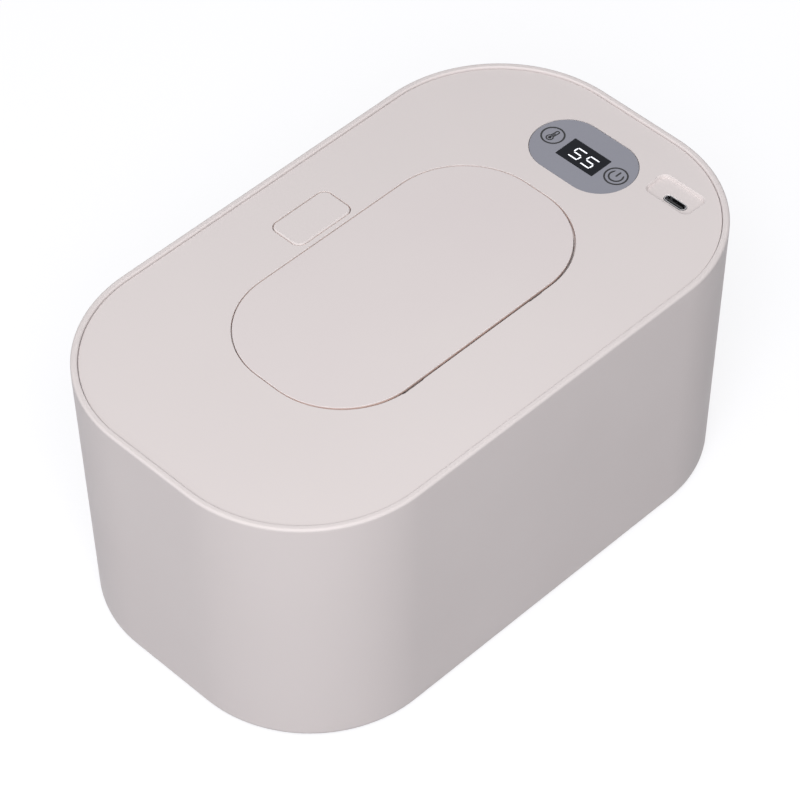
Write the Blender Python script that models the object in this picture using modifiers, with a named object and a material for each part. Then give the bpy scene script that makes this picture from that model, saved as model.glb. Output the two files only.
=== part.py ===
"""Baby wipe warmer.

A double-walled case with a tub inside, a lift-off heated cover set into its rim, and in
that cover a sprung flip lid, the push button that unlatches it, a touch panel with a
display, and a charging port.

Metres, +Z up. The origin is on the table under the middle of the case. +X runs along the
case to the touch panel, +Y across it to the push button, and the lid's hinge is at -Y.
"""
import math

import bmesh
import bpy
from mathutils import Matrix, Vector

# Fits and steps that many pieces share
FIT_GAP = 0.0003
MERGE_GAP = 0.000002
CUT_OVERRUN = 0.003
WELD_DEPTH = 0.0005
CORNER_STEPS = 7
SMALL_CORNER_STEPS = 4
EDGE_STEPS = 2
ROUND_SIDES = 16
SCREW_SIDES = 8
COIL_STEPS = 8

# Outer case: its outline at the top, with the flat stretch between its end's two corners
CASE_LENGTH = 0.2161
CASE_WIDTH = 0.1301
CASE_END_FLAT = 0.0327
CASE_HEIGHT = 0.1005
CASE_DRAFT = 0.0025
FOOT_DROP = 0.0010
CASE_WALL = 0.0023
CASE_BOTTOM_ROUND = 0.0020
RIM_WIDTH = 0.0021
RIM_ROUND = 0.0009
RIM_INNER_ROUND = 0.0003
TUB_LEDGE_REACH = 0.0025
TUB_LEDGE_THICKNESS = 0.0020
CASE_FLANGE_REACH = 0.0035
CASE_FLANGE_THICKNESS = 0.0020

# Base plate, its screws and the rubber feet
BASE_THICKNESS = 0.0030
BASE_CHAMFER = 0.0005
FOOT_RADIUS = 0.0070
FOOT_RECESS = 0.0010
FOOT_CHAMFER = 0.0004
FOOT_END_INSET = 0.0300
FOOT_SIDE_INSET = 0.0310
BASE_SCREW_END_INSET = 0.0500
BASE_SCREW_LENGTH = 0.0070

# Every screw: head, shank, and the clearance of its hole
SCREW_HEAD_RADIUS = 0.0027
SCREW_HEAD_HEIGHT = 0.0014
SCREW_SHANK_RADIUS = 0.0013
SCREW_BOSS_RADIUS = 0.0032
SCREW_TIP_ROOM = 0.0010

# Tub that holds the wipes, and the foam sleeve round it
TUB_INSET = 0.0085
TUB_WALL = 0.0015
TUB_FLOOR_ROUND = 0.0080
TUB_FLANGE_THICKNESS = 0.0020
TUB_BOSS_HEIGHT = 0.0067

# Top cover: plate, skirt inside the rim, and the seat and bowl under the flip lid
COVER_DROP = 0.0008
SEAM_GAP = 0.00045
COVER_PLATE = 0.0018
COVER_EDGE_ROUND = 0.0005
SKIRT_DEPTH = 0.0114
SKIRT_WALL = 0.0018
LID_END_BORDER = 0.0488
LID_SIDE_BORDER = 0.03245
LID_END_FLAT = 0.0090
LID_Y = 0.0003
OPENING_EDGE_ROUND = 0.0003
LID_SEAT_DEPTH = 0.0036
LID_SEAT_WIDTH = 0.0080
BOWL_DEPTH = 0.0100
BOWL_WALL = 0.0016
PAD_THICKNESS = 0.0010
SIDE_SCREW_END_INSET = 0.0560
SIDE_SCREW_SIDE_INSET = 0.0200
END_SCREW_INSET = 0.0200
CORNER_SCREW_INSET = 0.0184
CORNER_SCREW_ANGLE = 36
COVER_SCREW_LENGTH = 0.0080

# Dispensing gate: its hole as shares of the bowl's floor, and its slot as shares of the hole
GATE_SHARES = (0.602, 0.524)
GATE_SLOT_SHARES = (0.710, 0.346)
GATE_END_FLAT = 0.0008
GATE_FLANGE_REACH = 0.0030
GATE_FLANGE_THICKNESS = 0.0012
GATE_LIP = 0.0020
GATE_SKIN = 0.0008
GATE_FRAME_REACH = 0.0045
GATE_FRAME_HEIGHT = 0.0012

# Flip lid, its gasket, goose-neck hinge arms, pin and opening spring
LID_THICKNESS = 0.0016
LID_EDGE_ROUND = 0.0004
LID_EDGE_DRAFT = 0.00025
HINGE_SEAM_GAP = 0.0009
HINGE_SKIN = 0.0012
HINGE_SET_BACK = 0.0050
KNUCKLE_RADIUS = 0.0017
PIN_RADIUS = 0.0008
PIN_GAP = 0.0002
ARM_SWING_GAP = 0.0004
ARM_THICKNESS = 0.0018
ARM_LEG_WIDTH = 0.0018
ARM_LEG_FRONT = 0.0006
LEFT_WELL_OVERHANG = 0.0040
LEFT_WELL_WIDTH = 0.0112
RIGHT_WELL_SETBACK = 0.0030
RIGHT_WELL_WIDTH = 0.0084
WELL_WALL = 0.0026
LEFT_ARM_WIDTH = 0.0072
GASKET_WIDTH = 0.0020
GASKET_SEAT_SHARE = 0.68
LID_SPRING_WIRE = 0.00050
LID_SPRING_TURNS = 3
LID_SPRING_PITCH = 0.00080
LID_SPRING_LEG = 0.0048
LID_SPRING_FOOT = 0.0022

# Push button with its collar, legs and return spring
BUTTON_SIZE = (0.0242, 0.0134, 0.00305)
BUTTON_SPACING = 0.0018
BUTTON_PROUD = 0.0002
BUTTON_TRAVEL = 0.0018
BUTTON_WALL = 0.0014
BUTTON_TOP = 0.0018
BUTTON_DEPTH = 0.0085
BUTTON_EDGE_ROUND = 0.0007
BUTTON_TAB_REACH = 0.0013
BUTTON_TAB_WIDTH = 0.0060
BUTTON_TAB_HEIGHT = 0.0012
COLLAR_WALL = 0.0012
COLLAR_DEPTH = 0.0068
BUTTON_LEG_X = (0.0050, 0.0085)
BUTTON_LEG_DEPTH = 0.0030
BUTTON_LEG_BACK = 0.0016
BUTTON_SPRING_RADIUS = 0.0026
BUTTON_SPRING_WIRE = 0.00050
BUTTON_SPRING_TURNS = 4
SPRING_POST_RADIUS = 0.0020
SPRING_SEAT_RADIUS = 0.0035
SPRING_SEAT_THICKNESS = 0.0015
SPRING_SEAT_HEIGHT = 0.0045

# Latch slider, moved by the button's 45-degree ramps, and its springs
SLIDER_THICKNESS = 0.0020
SLIDER_RAIL_X = (0.0096, 0.0120)
SLIDER_EAR_X = 0.0160
SLIDER_FRONT_DEPTH = 0.0028
SLIDER_BACK_DEPTH = 0.0020
SLIDER_REACH_BACK = 0.0053
SLIDER_HEIGHT = 0.0035
RAMP_DEPTH = 0.0011
RAMP_HEIGHT = 0.0040
NOSE_HALF_WIDTH = 0.0050
NOSE_REACH = 0.0004
NOSE_THICKNESS = 0.0020
NOSE_DROP = 0.0042
RISER_DEPTH = 0.0018
NOSE_SLOT_GAP = 0.0004
LATCH_SPRING_X = 0.0140
LATCH_SPRING_RADIUS = 0.00105
LATCH_SPRING_WIRE = 0.00050
LATCH_SPRING_TURNS = 5
LATCH_STOP_DEPTH = 0.0020
LATCH_STOP_HALF_WIDTH = 0.0014
LATCH_STOP_HEIGHT = 0.0065
LATCH_SPRING_LENGTH = 0.0094
GUIDE_WIDTH = 0.0018
CATCH_HALF_WIDTH = 0.0055
CATCH_SWING_GAP = 0.0005
CATCH_LIP = 0.0012
CATCH_RIB = 0.0015
CATCH_DROP = 0.0061
CATCH_SLOT_GAP = 0.0008

# Touch panel and display
PANEL_DEPTH = 0.0252
PANEL_WIDTH_SHARE = 0.299
PANEL_CORNER_SHARE = 0.499
PANEL_END_INSET = 0.0269
PANEL_Y = 0.0003
PANEL_THICKNESS = 0.0010
PANEL_GAP = 0.00015
WINDOW_SIZE = (0.0095, 0.0158, 0.0002)
WINDOW_OFFSET = (-0.00035, -0.0002)
TOUCH_EDGE_INSET = 0.00565
TOUCH_SPRING_RADIUS = 0.0022
TOUCH_SPRING_WIRE = 0.00040
TOUCH_SPRING_TURNS = 3

# Charging port in its recess
RECESS_SIZE = (0.0102, 0.0181, 0.0030)
RECESS_END_INSET = 0.01955
RECESS_SIDE_SHARE = 0.250
RECESS_DEPTH = 0.0012
RECESS_SLOPE = 0.0011
PORT_SIZE = (0.0030, 0.0086, 0.00145)
PORT_OFFSET = (-0.00185, -0.00175)
PORT_GAP = 0.00015
PORT_WALL = 0.0003
PORT_FLOOR = 0.0008
TONGUE_SIZE = (0.0007, 0.0064)
TONGUE_DROP = 0.0006

# Control board
BOARD_END_INSETS = (0.0380, 0.0170)
BOARD_PANEL_ROOM = 0.0023
BOARD_PORT_ROOM = 0.0077
BOARD_THICKNESS = 0.0016
BOARD_SCREW_INSET = 0.0032
BOARD_SCREW_LENGTH = 0.0060

# Cover liner: rim, plug that closes the tub, and the throat under the gate
SEAL_HEIGHT = 0.0017
SEAL_WIDTH = 0.0028
SEAL_INSET = 0.0062
LINER_RIM = 0.0012
LINER_DEPTH = 0.0083
LINER_WALL = 0.0015
PLUG_GAP = 0.0008
THROAT_WALL = 0.0016

# Heater under the liner, with its sensor, fuse and leads
HEATER_INSET = 0.0245
HEATER_THICKNESS = 0.0015
FILM_MARGIN = 0.0020
FILM_THICKNESS = 0.0005
HEATER_THROAT_GAP = 0.0020
HEATER_SCREW_END_INSET = 0.0435
HEATER_SCREW_SIDE_INSET = 0.0350
HEATER_BOSS_HEIGHT = 0.0040
HEATER_SCREW_LENGTH = 0.0055
SENSOR_Y = 0.0100
SENSOR_RADIUS = 0.0012
SENSOR_LENGTH = 0.0060
FUSE_Y = -0.0100
FUSE_RADIUS = 0.0018
FUSE_LENGTH = 0.0100
WINDOW_MARGIN = 0.0008
LEAD_RADIUS = 0.00060
LEAD_SPACING = 0.0024
LEAD_Y = 0.0120
LEAD_BOARD_INSET = 0.0020
LEAD_ARCH = 0.0012
LEAD_RUN = 0.0090
LEAD_STEPS = 10

# Levels, from the table up and from the rim down
BASE_TOP = FOOT_DROP + BASE_THICKNESS
CASE_FLANGE_BOTTOM = BASE_TOP + FIT_GAP
CASE_FLANGE_TOP = CASE_FLANGE_BOTTOM + CASE_FLANGE_THICKNESS
TUB_BOTTOM = BASE_TOP + FIT_GAP + TUB_BOSS_HEIGHT
TUB_FLOOR = TUB_BOTTOM + TUB_WALL
COVER_TOP = CASE_HEIGHT - COVER_DROP
PLATE_BOTTOM = COVER_TOP - COVER_PLATE
PAD_BOTTOM = PLATE_BOTTOM - PAD_THICKNESS
SKIRT_BOTTOM = COVER_TOP - SKIRT_DEPTH
TUB_FLANGE_TOP = SKIRT_BOTTOM - FIT_GAP
TUB_FLANGE_BOTTOM = TUB_FLANGE_TOP - TUB_FLANGE_THICKNESS
TUB_LEDGE_TOP = TUB_FLANGE_BOTTOM - FIT_GAP
TUB_LEDGE_FOOT = TUB_LEDGE_TOP - TUB_LEDGE_THICKNESS - TUB_LEDGE_REACH
SEAL_BOTTOM = TUB_FLANGE_TOP + FIT_GAP
LINER_RIM_BOTTOM = SEAL_BOTTOM + SEAL_HEIGHT + FIT_GAP
LINER_RIM_TOP = LINER_RIM_BOTTOM + LINER_RIM
LINER_BOTTOM = LINER_RIM_BOTTOM - LINER_DEPTH
LINER_FLOOR = LINER_BOTTOM + LINER_WALL
FILM_TOP = LINER_BOTTOM - FIT_GAP
FILM_BOTTOM = FILM_TOP - FILM_THICKNESS
HEATER_TOP = FILM_BOTTOM - FIT_GAP
HEATER_BOTTOM = HEATER_TOP - HEATER_THICKNESS
BOARD_BOTTOM = LINER_RIM_TOP + FIT_GAP
BOARD_TOP = BOARD_BOTTOM + BOARD_THICKNESS
LID_SEAT = COVER_TOP - LID_SEAT_DEPTH
LID_BOTTOM = COVER_TOP - LID_THICKNESS
BOWL_FLOOR = COVER_TOP - BOWL_DEPTH
BOWL_BOTTOM = BOWL_FLOOR - BOWL_WALL
GATE_FLANGE_BOTTOM = BOWL_FLOOR + FIT_GAP
GATE_FLANGE_TOP = GATE_FLANGE_BOTTOM + GATE_FLANGE_THICKNESS
COLLAR_BOTTOM = COVER_TOP - COLLAR_DEPTH
BUTTON_TOP_Z = COVER_TOP + BUTTON_PROUD
BUTTON_CEILING = BUTTON_TOP_Z - BUTTON_TOP
BUTTON_BOTTOM = BUTTON_TOP_Z - BUTTON_DEPTH
SLIDER_BOTTOM = LINER_FLOOR + SLIDER_HEIGHT
SLIDER_TOP = SLIDER_BOTTOM + SLIDER_THICKNESS
SPRING_SEAT_Z = LINER_FLOOR + SPRING_SEAT_HEIGHT
NOSE_TOP = COVER_TOP - NOSE_DROP
NOSE_BOTTOM = NOSE_TOP - NOSE_THICKNESS
POCKET_FLOOR = COVER_TOP - PANEL_THICKNESS - FIT_GAP
PANEL_BOTTOM = COVER_TOP - PANEL_THICKNESS
RECESS_FLOOR = COVER_TOP - RECESS_DEPTH

# Sizes and places in plan that follow from the case's outline
CASE_SIZE = (CASE_LENGTH, CASE_WIDTH, (CASE_WIDTH - CASE_END_FLAT) / 2)
CASE_END = CASE_LENGTH / 2
CASE_SIDE = CASE_WIDTH / 2
LID_SEAM_WIDTH = CASE_WIDTH - 2 * LID_SIDE_BORDER
LID_SEAM_SIZE = (CASE_LENGTH - 2 * LID_END_BORDER, LID_SEAM_WIDTH,
                 (LID_SEAM_WIDTH - LID_END_FLAT) / 2)
FOOT_X = CASE_END - FOOT_END_INSET
FOOT_Y = CASE_SIDE - FOOT_SIDE_INSET
BASE_SCREW_X = CASE_END - BASE_SCREW_END_INSET
BASE_SCREW_Y = FOOT_Y
SIDE_SCREW_X = CASE_END - SIDE_SCREW_END_INSET
SIDE_SCREW_Y = CASE_SIDE - SIDE_SCREW_SIDE_INSET
CORNER_REACH = CASE_SIZE[2] - CORNER_SCREW_INSET
CORNER_TURN = math.radians(CORNER_SCREW_ANGLE)
COVER_SCREW_PLACES = ((END_SCREW_INSET - CASE_END, 0.0),
                      (-SIDE_SCREW_X, SIDE_SCREW_Y), (-SIDE_SCREW_X, -SIDE_SCREW_Y),
                      (SIDE_SCREW_X, SIDE_SCREW_Y), (SIDE_SCREW_X, -SIDE_SCREW_Y),
                      (CASE_END - CASE_SIZE[2] + CORNER_REACH * math.cos(CORNER_TURN),
                       CASE_SIDE - CASE_SIZE[2] + CORNER_REACH * math.sin(CORNER_TURN)))
HEATER_SCREW_X = CASE_END - HEATER_SCREW_END_INSET
HEATER_SCREW_Y = CASE_SIDE - HEATER_SCREW_SIDE_INSET
SENSOR_X = -HEATER_SCREW_X
PANEL_X = CASE_END - PANEL_END_INSET
PANEL_SIZE = (PANEL_DEPTH, PANEL_WIDTH_SHARE * CASE_WIDTH, PANEL_CORNER_SHARE * PANEL_DEPTH)
WINDOW_X = PANEL_X + WINDOW_OFFSET[0]
WINDOW_Y = PANEL_Y + WINDOW_OFFSET[1]
TOUCH_OFFSET_Y = PANEL_SIZE[1] / 2 - TOUCH_EDGE_INSET
RECESS_X = CASE_END - RECESS_END_INSET
RECESS_Y = -RECESS_SIDE_SHARE * CASE_WIDTH
PORT_X = RECESS_X + PORT_OFFSET[0]
PORT_Y = RECESS_Y + PORT_OFFSET[1]
BOARD_X = tuple(CASE_END - inset for inset in BOARD_END_INSETS)
BOARD_Y = (PORT_Y - BOARD_PORT_ROOM, PANEL_Y + PANEL_SIZE[1] / 2 + BOARD_PANEL_ROOM)
BOARD_SCREW_PLACES = tuple((BOARD_X[0] + BOARD_SCREW_INSET, y) for y in
                           (BOARD_Y[1] - BOARD_SCREW_INSET, BOARD_Y[0] + BOARD_SCREW_INSET))

# Places that follow from the lid's seam
COVER_INSET = RIM_WIDTH + SEAM_GAP
SKIRT_INSET = COVER_INSET + SKIRT_WALL
PLUG_INSET = TUB_INSET + TUB_WALL + PLUG_GAP
OPENING_SIZE = (LID_SEAM_SIZE[0] + SEAM_GAP, LID_SEAM_SIZE[1] + SEAM_GAP,
                LID_SEAM_SIZE[2] + SEAM_GAP / 2)
OPENING_BACK = LID_Y - OPENING_SIZE[1] / 2
OPENING_FRONT = LID_Y + OPENING_SIZE[1] / 2
LID_BACK = OPENING_BACK + HINGE_SEAM_GAP
LID_FRONT = OPENING_FRONT - SEAM_GAP
LID_SIZE = (LID_SEAM_SIZE[0] - SEAM_GAP, LID_FRONT - LID_BACK, LID_SEAM_SIZE[2] - SEAM_GAP / 2)
LID_CENTRE = (0.0, (LID_FRONT + LID_BACK) / 2)
LID_SIDE_FLAT = LID_SEAM_SIZE[0] / 2 - LID_SEAM_SIZE[2]
LEFT_WELL_START = -LID_SIDE_FLAT - LEFT_WELL_OVERHANG
LEFT_WELL_X = (LEFT_WELL_START, LEFT_WELL_START + LEFT_WELL_WIDTH)
RIGHT_WELL_END = LID_SIDE_FLAT - RIGHT_WELL_SETBACK
RIGHT_WELL_X = (RIGHT_WELL_END - RIGHT_WELL_WIDTH, RIGHT_WELL_END)
BUTTON_Y = OPENING_FRONT + BUTTON_SPACING + FIT_GAP + BUTTON_SIZE[1] / 2
GATE_LENGTH, GATE_WIDTH = (share * (side - 2 * LID_SEAT_WIDTH)
                           for share, side in zip(GATE_SHARES, OPENING_SIZE))
GATE_SIZE = (GATE_LENGTH, GATE_WIDTH, (GATE_WIDTH - GATE_END_FLAT) / 2)
SLOT_LENGTH, SLOT_WIDTH = (share * side for share, side in zip(GATE_SLOT_SHARES, GATE_SIZE))
GATE_SLOT_SIZE = (SLOT_LENGTH, SLOT_WIDTH, (SLOT_WIDTH - GATE_END_FLAT / 2) / 2)
HINGE_DEPTH = HINGE_SKIN + FIT_GAP + KNUCKLE_RADIUS
HINGE_Y = LID_BACK - HINGE_SET_BACK
HINGE_Z = COVER_TOP - HINGE_DEPTH
ARM_INNER_RADIUS = math.hypot(HINGE_SET_BACK - HINGE_SEAM_GAP, HINGE_DEPTH) + ARM_SWING_GAP
ARM_OUTER_RADIUS = ARM_INNER_RADIUS + ARM_THICKNESS
SCREW_HOLE_RADIUS = SCREW_SHANK_RADIUS + FIT_GAP

# The parts' collection holds one object for each piece, the other one the cutters and blanks
for leftover in list(bpy.data.objects):
    bpy.data.objects.remove(leftover)
PARTS = bpy.data.collections.new("wipe_warmer")
TOOLS = bpy.data.collections.new("cutters_and_blanks")
for group in (PARTS, TOOLS):
    bpy.context.scene.collection.children.link(group)


def finish(name, colour, roughness, metallic=0.0):
    """A plain Principled material."""
    material = bpy.data.materials.new(name)
    material.use_nodes = True
    shader = material.node_tree.nodes["Principled BSDF"]
    shader.inputs["Base Color"].default_value = (*colour, 1.0)
    shader.inputs["Roughness"].default_value = roughness
    shader.inputs["Metallic"].default_value = metallic
    return material


SHELL_PLASTIC = finish("shell_plastic", (0.71, 0.65, 0.64), 0.45)
LINER_PLASTIC = finish("liner_plastic", (0.62, 0.60, 0.59), 0.5)
PANEL_PLASTIC = finish("panel_plastic", (0.26, 0.28, 0.33), 0.4)
WINDOW_PLASTIC = finish("window_plastic", (0.02, 0.022, 0.03), 0.2)
SILICONE = finish("silicone", (0.66, 0.64, 0.62), 0.6)
RUBBER = finish("rubber", (0.12, 0.12, 0.12), 0.8)
FOAM = finish("foam", (0.75, 0.75, 0.73), 0.9)
STEEL = finish("steel", (0.6, 0.6, 0.6), 0.3, 1.0)
ALUMINIUM = finish("aluminium", (0.75, 0.76, 0.77), 0.35, 1.0)
HEATER_FILM = finish("heater_film", (0.55, 0.25, 0.05), 0.3)
BOARD_GREEN = finish("board_green", (0.03, 0.2, 0.09), 0.45)
BLACK_PLASTIC = finish("black_plastic", (0.02, 0.02, 0.02), 0.45)
LEAD_RED = finish("lead_red", (0.45, 0.03, 0.02), 0.5)


def add_piece(name, mesh, material=None):
    """Link a mesh as one object. Without a material it is a cutter or a blank."""
    piece = bpy.data.objects.new(name, mesh)
    if material:
        PARTS.objects.link(piece)
        mesh.materials.append(material)
        for face in mesh.polygons:
            face.use_smooth = True
        mesh.set_sharp_from_angle(angle=math.radians(35))
    else:
        TOOLS.objects.link(piece)
        piece.hide_render = True
        piece.display_type = "WIRE"
    return piece


def from_bmesh(name, bm, material):
    """Close a bmesh's seams, turn its faces outward and link it."""
    bmesh.ops.remove_doubles(bm, verts=bm.verts, dist=MERGE_GAP)
    bmesh.ops.recalc_face_normals(bm, faces=bm.faces)
    mesh = bpy.data.meshes.new(name)
    bm.to_mesh(mesh)
    bm.free()
    return add_piece(name, mesh, material)


def box(name, low, high, material=None):
    """A block between two opposite corners."""
    bm = bmesh.new()
    bmesh.ops.create_cube(bm, size=1)
    bmesh.ops.scale(bm, vec=Vector(high) - Vector(low), verts=bm.verts)
    bmesh.ops.translate(bm, vec=(Vector(high) + Vector(low)) / 2, verts=bm.verts)
    return from_bmesh(name, bm, material)


def rod(name, radius, start, end, material=None, sides=ROUND_SIDES):
    """A cylinder between two points."""
    start, end = Vector(start), Vector(end)
    bm = bmesh.new()
    bmesh.ops.create_cone(bm, cap_ends=True, segments=sides, radius1=radius,
                          radius2=radius, depth=(end - start).length)
    turn = (end - start).to_track_quat("Z", "Y").to_matrix().to_4x4()
    bmesh.ops.transform(bm, matrix=Matrix.Translation((start + end) / 2) @ turn, verts=bm.verts)
    return from_bmesh(name, bm, material)


def ring_of(size, inset, z, centre=(0.0, 0.0), steps=CORNER_STEPS):
    """Points of a level rounded rectangle, inset all round, anticlockwise from its +X side."""
    length, width, radius = (size[0] - 2 * inset, size[1] - 2 * inset, size[2] - inset)
    points = []
    for corner, (side_x, side_y) in enumerate(((1, 1), (-1, 1), (-1, -1), (1, -1))):
        for step in range(steps + 1):
            angle = math.pi / 2 * (corner + step / steps)
            points.append((centre[0] + side_x * (length / 2 - radius) + radius * math.cos(angle),
                           centre[1] + side_y * (width / 2 - radius) + radius * math.sin(angle),
                           z))
    return points


def case_ring(inset, z):
    """The case's drafted outline at height z, inset all round."""
    share = (CASE_HEIGHT - z) / (CASE_HEIGHT - FOOT_DROP)
    return ring_of(CASE_SIZE, inset + share * CASE_DRAFT, z)


def opening_ring(inset, z):
    """The outline of the opening that the flip lid closes."""
    return ring_of(OPENING_SIZE, inset, z, (0.0, LID_Y))


def gate_ring(inset, z):
    """The outline of the dispensing hole."""
    return ring_of(GATE_SIZE, inset, z, (0.0, LID_Y))


def arc(centre, radius, start, end, steps=EDGE_STEPS):
    """Points along an arc in a section plane, between two angles in degrees."""
    angles = (math.radians(start + (end - start) * step / steps) for step in range(steps + 1))
    return [(centre[0] + radius * math.cos(a), centre[1] + radius * math.sin(a)) for a in angles]


def loft(name, rings, closed, material=None):
    """Skin through level rings: joined end to end when closed, else capped at both ends."""
    bm = bmesh.new()
    rows = [[bm.verts.new(point) for point in ring] for ring in rings]
    count = len(rows[0])
    for index in range(len(rows) if closed else len(rows) - 1):
        row, after = rows[index], rows[(index + 1) % len(rows)]
        for i in range(count):
            j = (i + 1) % count
            bm.faces.new((row[i], row[j], after[j], after[i]))
    if not closed:
        bm.faces.new(rows[0])
        bm.faces.new(rows[-1])
    return from_bmesh(name, bm, material)


def slab(name, size, low, high, centre, material=None, steps=SMALL_CORNER_STEPS):
    """A flat rounded-rectangle block."""
    rings = [ring_of(size, 0.0, z, centre, steps) for z in (low, high)]
    return loft(name, rings, False, material)


def sleeve(name, walls, levels, material=None):
    """A wall between an outer and an inner ring function, each with its inset."""
    (outer_ring, outer_inset), (inner_ring, inner_inset) = walls
    low, high = levels
    rings = [outer_ring(outer_inset, low), outer_ring(outer_inset, high),
             inner_ring(inner_inset, high), inner_ring(inner_inset, low)]
    return loft(name, rings, True, material)


def extrude_section(name, loops, x_low, x_high, material=None):
    """Fill loops of (y, z) points, the first the outline and the others holes, along X."""
    curve = bpy.data.curves.new(name, "CURVE")
    curve.dimensions = "2D"
    curve.fill_mode = "BOTH"
    curve.extrude = (x_high - x_low) / 2
    for loop in loops:
        spline = curve.splines.new("POLY")
        spline.points.add(len(loop) - 1)
        spline.use_cyclic_u = True
        for point, (y, z) in zip(spline.points, loop):
            point.co = (y, z, 0.0, 1.0)
    drawn = bpy.data.objects.new(name, curve)
    TOOLS.objects.link(drawn)
    bpy.context.view_layer.update()
    mesh = bpy.data.meshes.new_from_object(drawn.evaluated_get(bpy.context.evaluated_depsgraph_get()))
    bpy.data.objects.remove(drawn)
    bpy.data.curves.remove(curve)
    bm = bmesh.new()
    bm.from_mesh(mesh)
    bpy.data.meshes.remove(mesh)
    stand = Matrix(((0, 0, 1), (1, 0, 0), (0, 1, 0))).to_4x4()
    middle = Vector(((x_low + x_high) / 2, 0.0, 0.0))
    bmesh.ops.transform(bm, matrix=Matrix.Translation(middle) @ stand, verts=bm.verts)
    return from_bmesh(name, bm, material)


def wire(name, points, radius, material, resolution=1):
    """A round wire or lead along points, with filled ends."""
    curve = bpy.data.curves.new(name, "CURVE")
    curve.dimensions = "3D"
    curve.bevel_depth = radius
    curve.bevel_resolution = resolution
    curve.use_fill_caps = True
    spline = curve.splines.new("POLY")
    spline.points.add(len(points) - 1)
    for point, place in zip(spline.points, points):
        point.co = (*place, 1.0)
    curve.materials.append(material)
    piece = bpy.data.objects.new(name, curve)
    PARTS.objects.link(piece)
    return piece


def coil(radius, start, end, turns, steps=COIL_STEPS):
    """Points of an unbroken coil of even pitch between two points on its axis."""
    start, end = Vector(start), Vector(end)
    along = (end - start).normalized()
    side = along.orthogonal().normalized()
    over = along.cross(side)
    points = []
    for step in range(turns * steps + 1):
        angle = 2 * math.pi * step / steps
        middle = start.lerp(end, step / (turns * steps))
        points.append(middle + radius * (math.cos(angle) * side + math.sin(angle) * over))
    return points


def boolean(piece, tool, operation):
    """Cut or join with another object, which then counts as a cutter or a blank."""
    change = piece.modifiers.new(tool.name, "BOOLEAN")
    change.operation = operation
    change.solver = "EXACT"
    change.object = tool


def cut(piece, *tools):
    for tool in tools:
        boolean(piece, tool, "DIFFERENCE")


def join(piece, *tools):
    for tool in tools:
        boolean(piece, tool, "UNION")


def screw(name, length, place, upward):
    """A pan-head screw, turned from its half section, with its seat at the object's origin."""
    mesh = bpy.data.meshes.new(name)
    section = [(0.0, SCREW_HEAD_HEIGHT), (SCREW_HEAD_RADIUS, SCREW_HEAD_HEIGHT),
               (SCREW_HEAD_RADIUS, 0.0), (SCREW_SHANK_RADIUS, 0.0),
               (SCREW_SHANK_RADIUS, -length), (0.0, -length)]
    edges = [(i, i + 1) for i in range(len(section) - 1)]
    mesh.from_pydata([(x, 0.0, z) for x, z in section], edges, [])
    piece = add_piece(name, mesh, STEEL)
    turned = piece.modifiers.new("turned", "SCREW")
    turned.steps = SCREW_SIDES
    turned.render_steps = SCREW_SIDES
    turned.use_merge_vertices = True
    turned.merge_threshold = MERGE_GAP
    piece.location = place
    if upward:
        piece.rotation_euler = (math.pi, 0.0, 0.0)
    return piece


def corners(x, y):
    """The four mirrored places of a corner."""
    return [(side_x * x, side_y * y) for side_x in (-1, 1) for side_y in (-1, 1)]


def outer_case():
    """Drafted outer wall, open at both ends, with the rim, the tub's ledge and the base flange."""
    low = CASE_WALL + CASE_FLANGE_REACH
    profile = arc((CASE_BOTTOM_ROUND, FOOT_DROP + CASE_BOTTOM_ROUND), CASE_BOTTOM_ROUND, 270, 180)
    profile += arc((RIM_ROUND, CASE_HEIGHT - RIM_ROUND), RIM_ROUND, 180, 90)
    profile += arc((RIM_WIDTH - RIM_INNER_ROUND, CASE_HEIGHT - RIM_INNER_ROUND),
                   RIM_INNER_ROUND, 90, 0)
    profile += [(RIM_WIDTH, TUB_LEDGE_TOP),
                (CASE_WALL + TUB_LEDGE_REACH, TUB_LEDGE_TOP),
                (CASE_WALL + TUB_LEDGE_REACH, TUB_LEDGE_TOP - TUB_LEDGE_THICKNESS),
                (CASE_WALL, TUB_LEDGE_FOOT),
                (CASE_WALL, CASE_FLANGE_TOP), (low, CASE_FLANGE_TOP),
                (low, CASE_FLANGE_BOTTOM), (CASE_WALL, CASE_FLANGE_BOTTOM),
                (CASE_WALL, FOOT_DROP)]
    return loft("outer_case", [case_ring(*point) for point in profile], True, SHELL_PLASTIC)


def base_plate():
    """Floor plate, trapped under the case's flange and screwed up into the tub."""
    inset = CASE_WALL + FIT_GAP
    rings = [case_ring(inset + BASE_CHAMFER, FOOT_DROP),
             case_ring(inset, FOOT_DROP + BASE_CHAMFER), case_ring(inset, BASE_TOP)]
    plate = loft("base_plate", rings, False, SHELL_PLASTIC)
    for number, (x, y) in enumerate(corners(FOOT_X, FOOT_Y), 1):
        cut(plate, rod(f"foot_recess_{number}", FOOT_RADIUS + FIT_GAP,
                       (x, y, FOOT_DROP - CUT_OVERRUN), (x, y, FOOT_DROP + FOOT_RECESS)))
    seat = FOOT_DROP + SCREW_HEAD_HEIGHT + FIT_GAP
    for number, (x, y) in enumerate(corners(BASE_SCREW_X, BASE_SCREW_Y), 1):
        cut(plate,
            rod(f"base_counterbore_{number}", SCREW_HEAD_RADIUS + FIT_GAP,
                (x, y, FOOT_DROP - CUT_OVERRUN), (x, y, seat)),
            rod(f"base_screw_hole_{number}", SCREW_HOLE_RADIUS,
                (x, y, seat - WELD_DEPTH), (x, y, BASE_TOP + CUT_OVERRUN), sides=SCREW_SIDES))
    return plate


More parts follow.
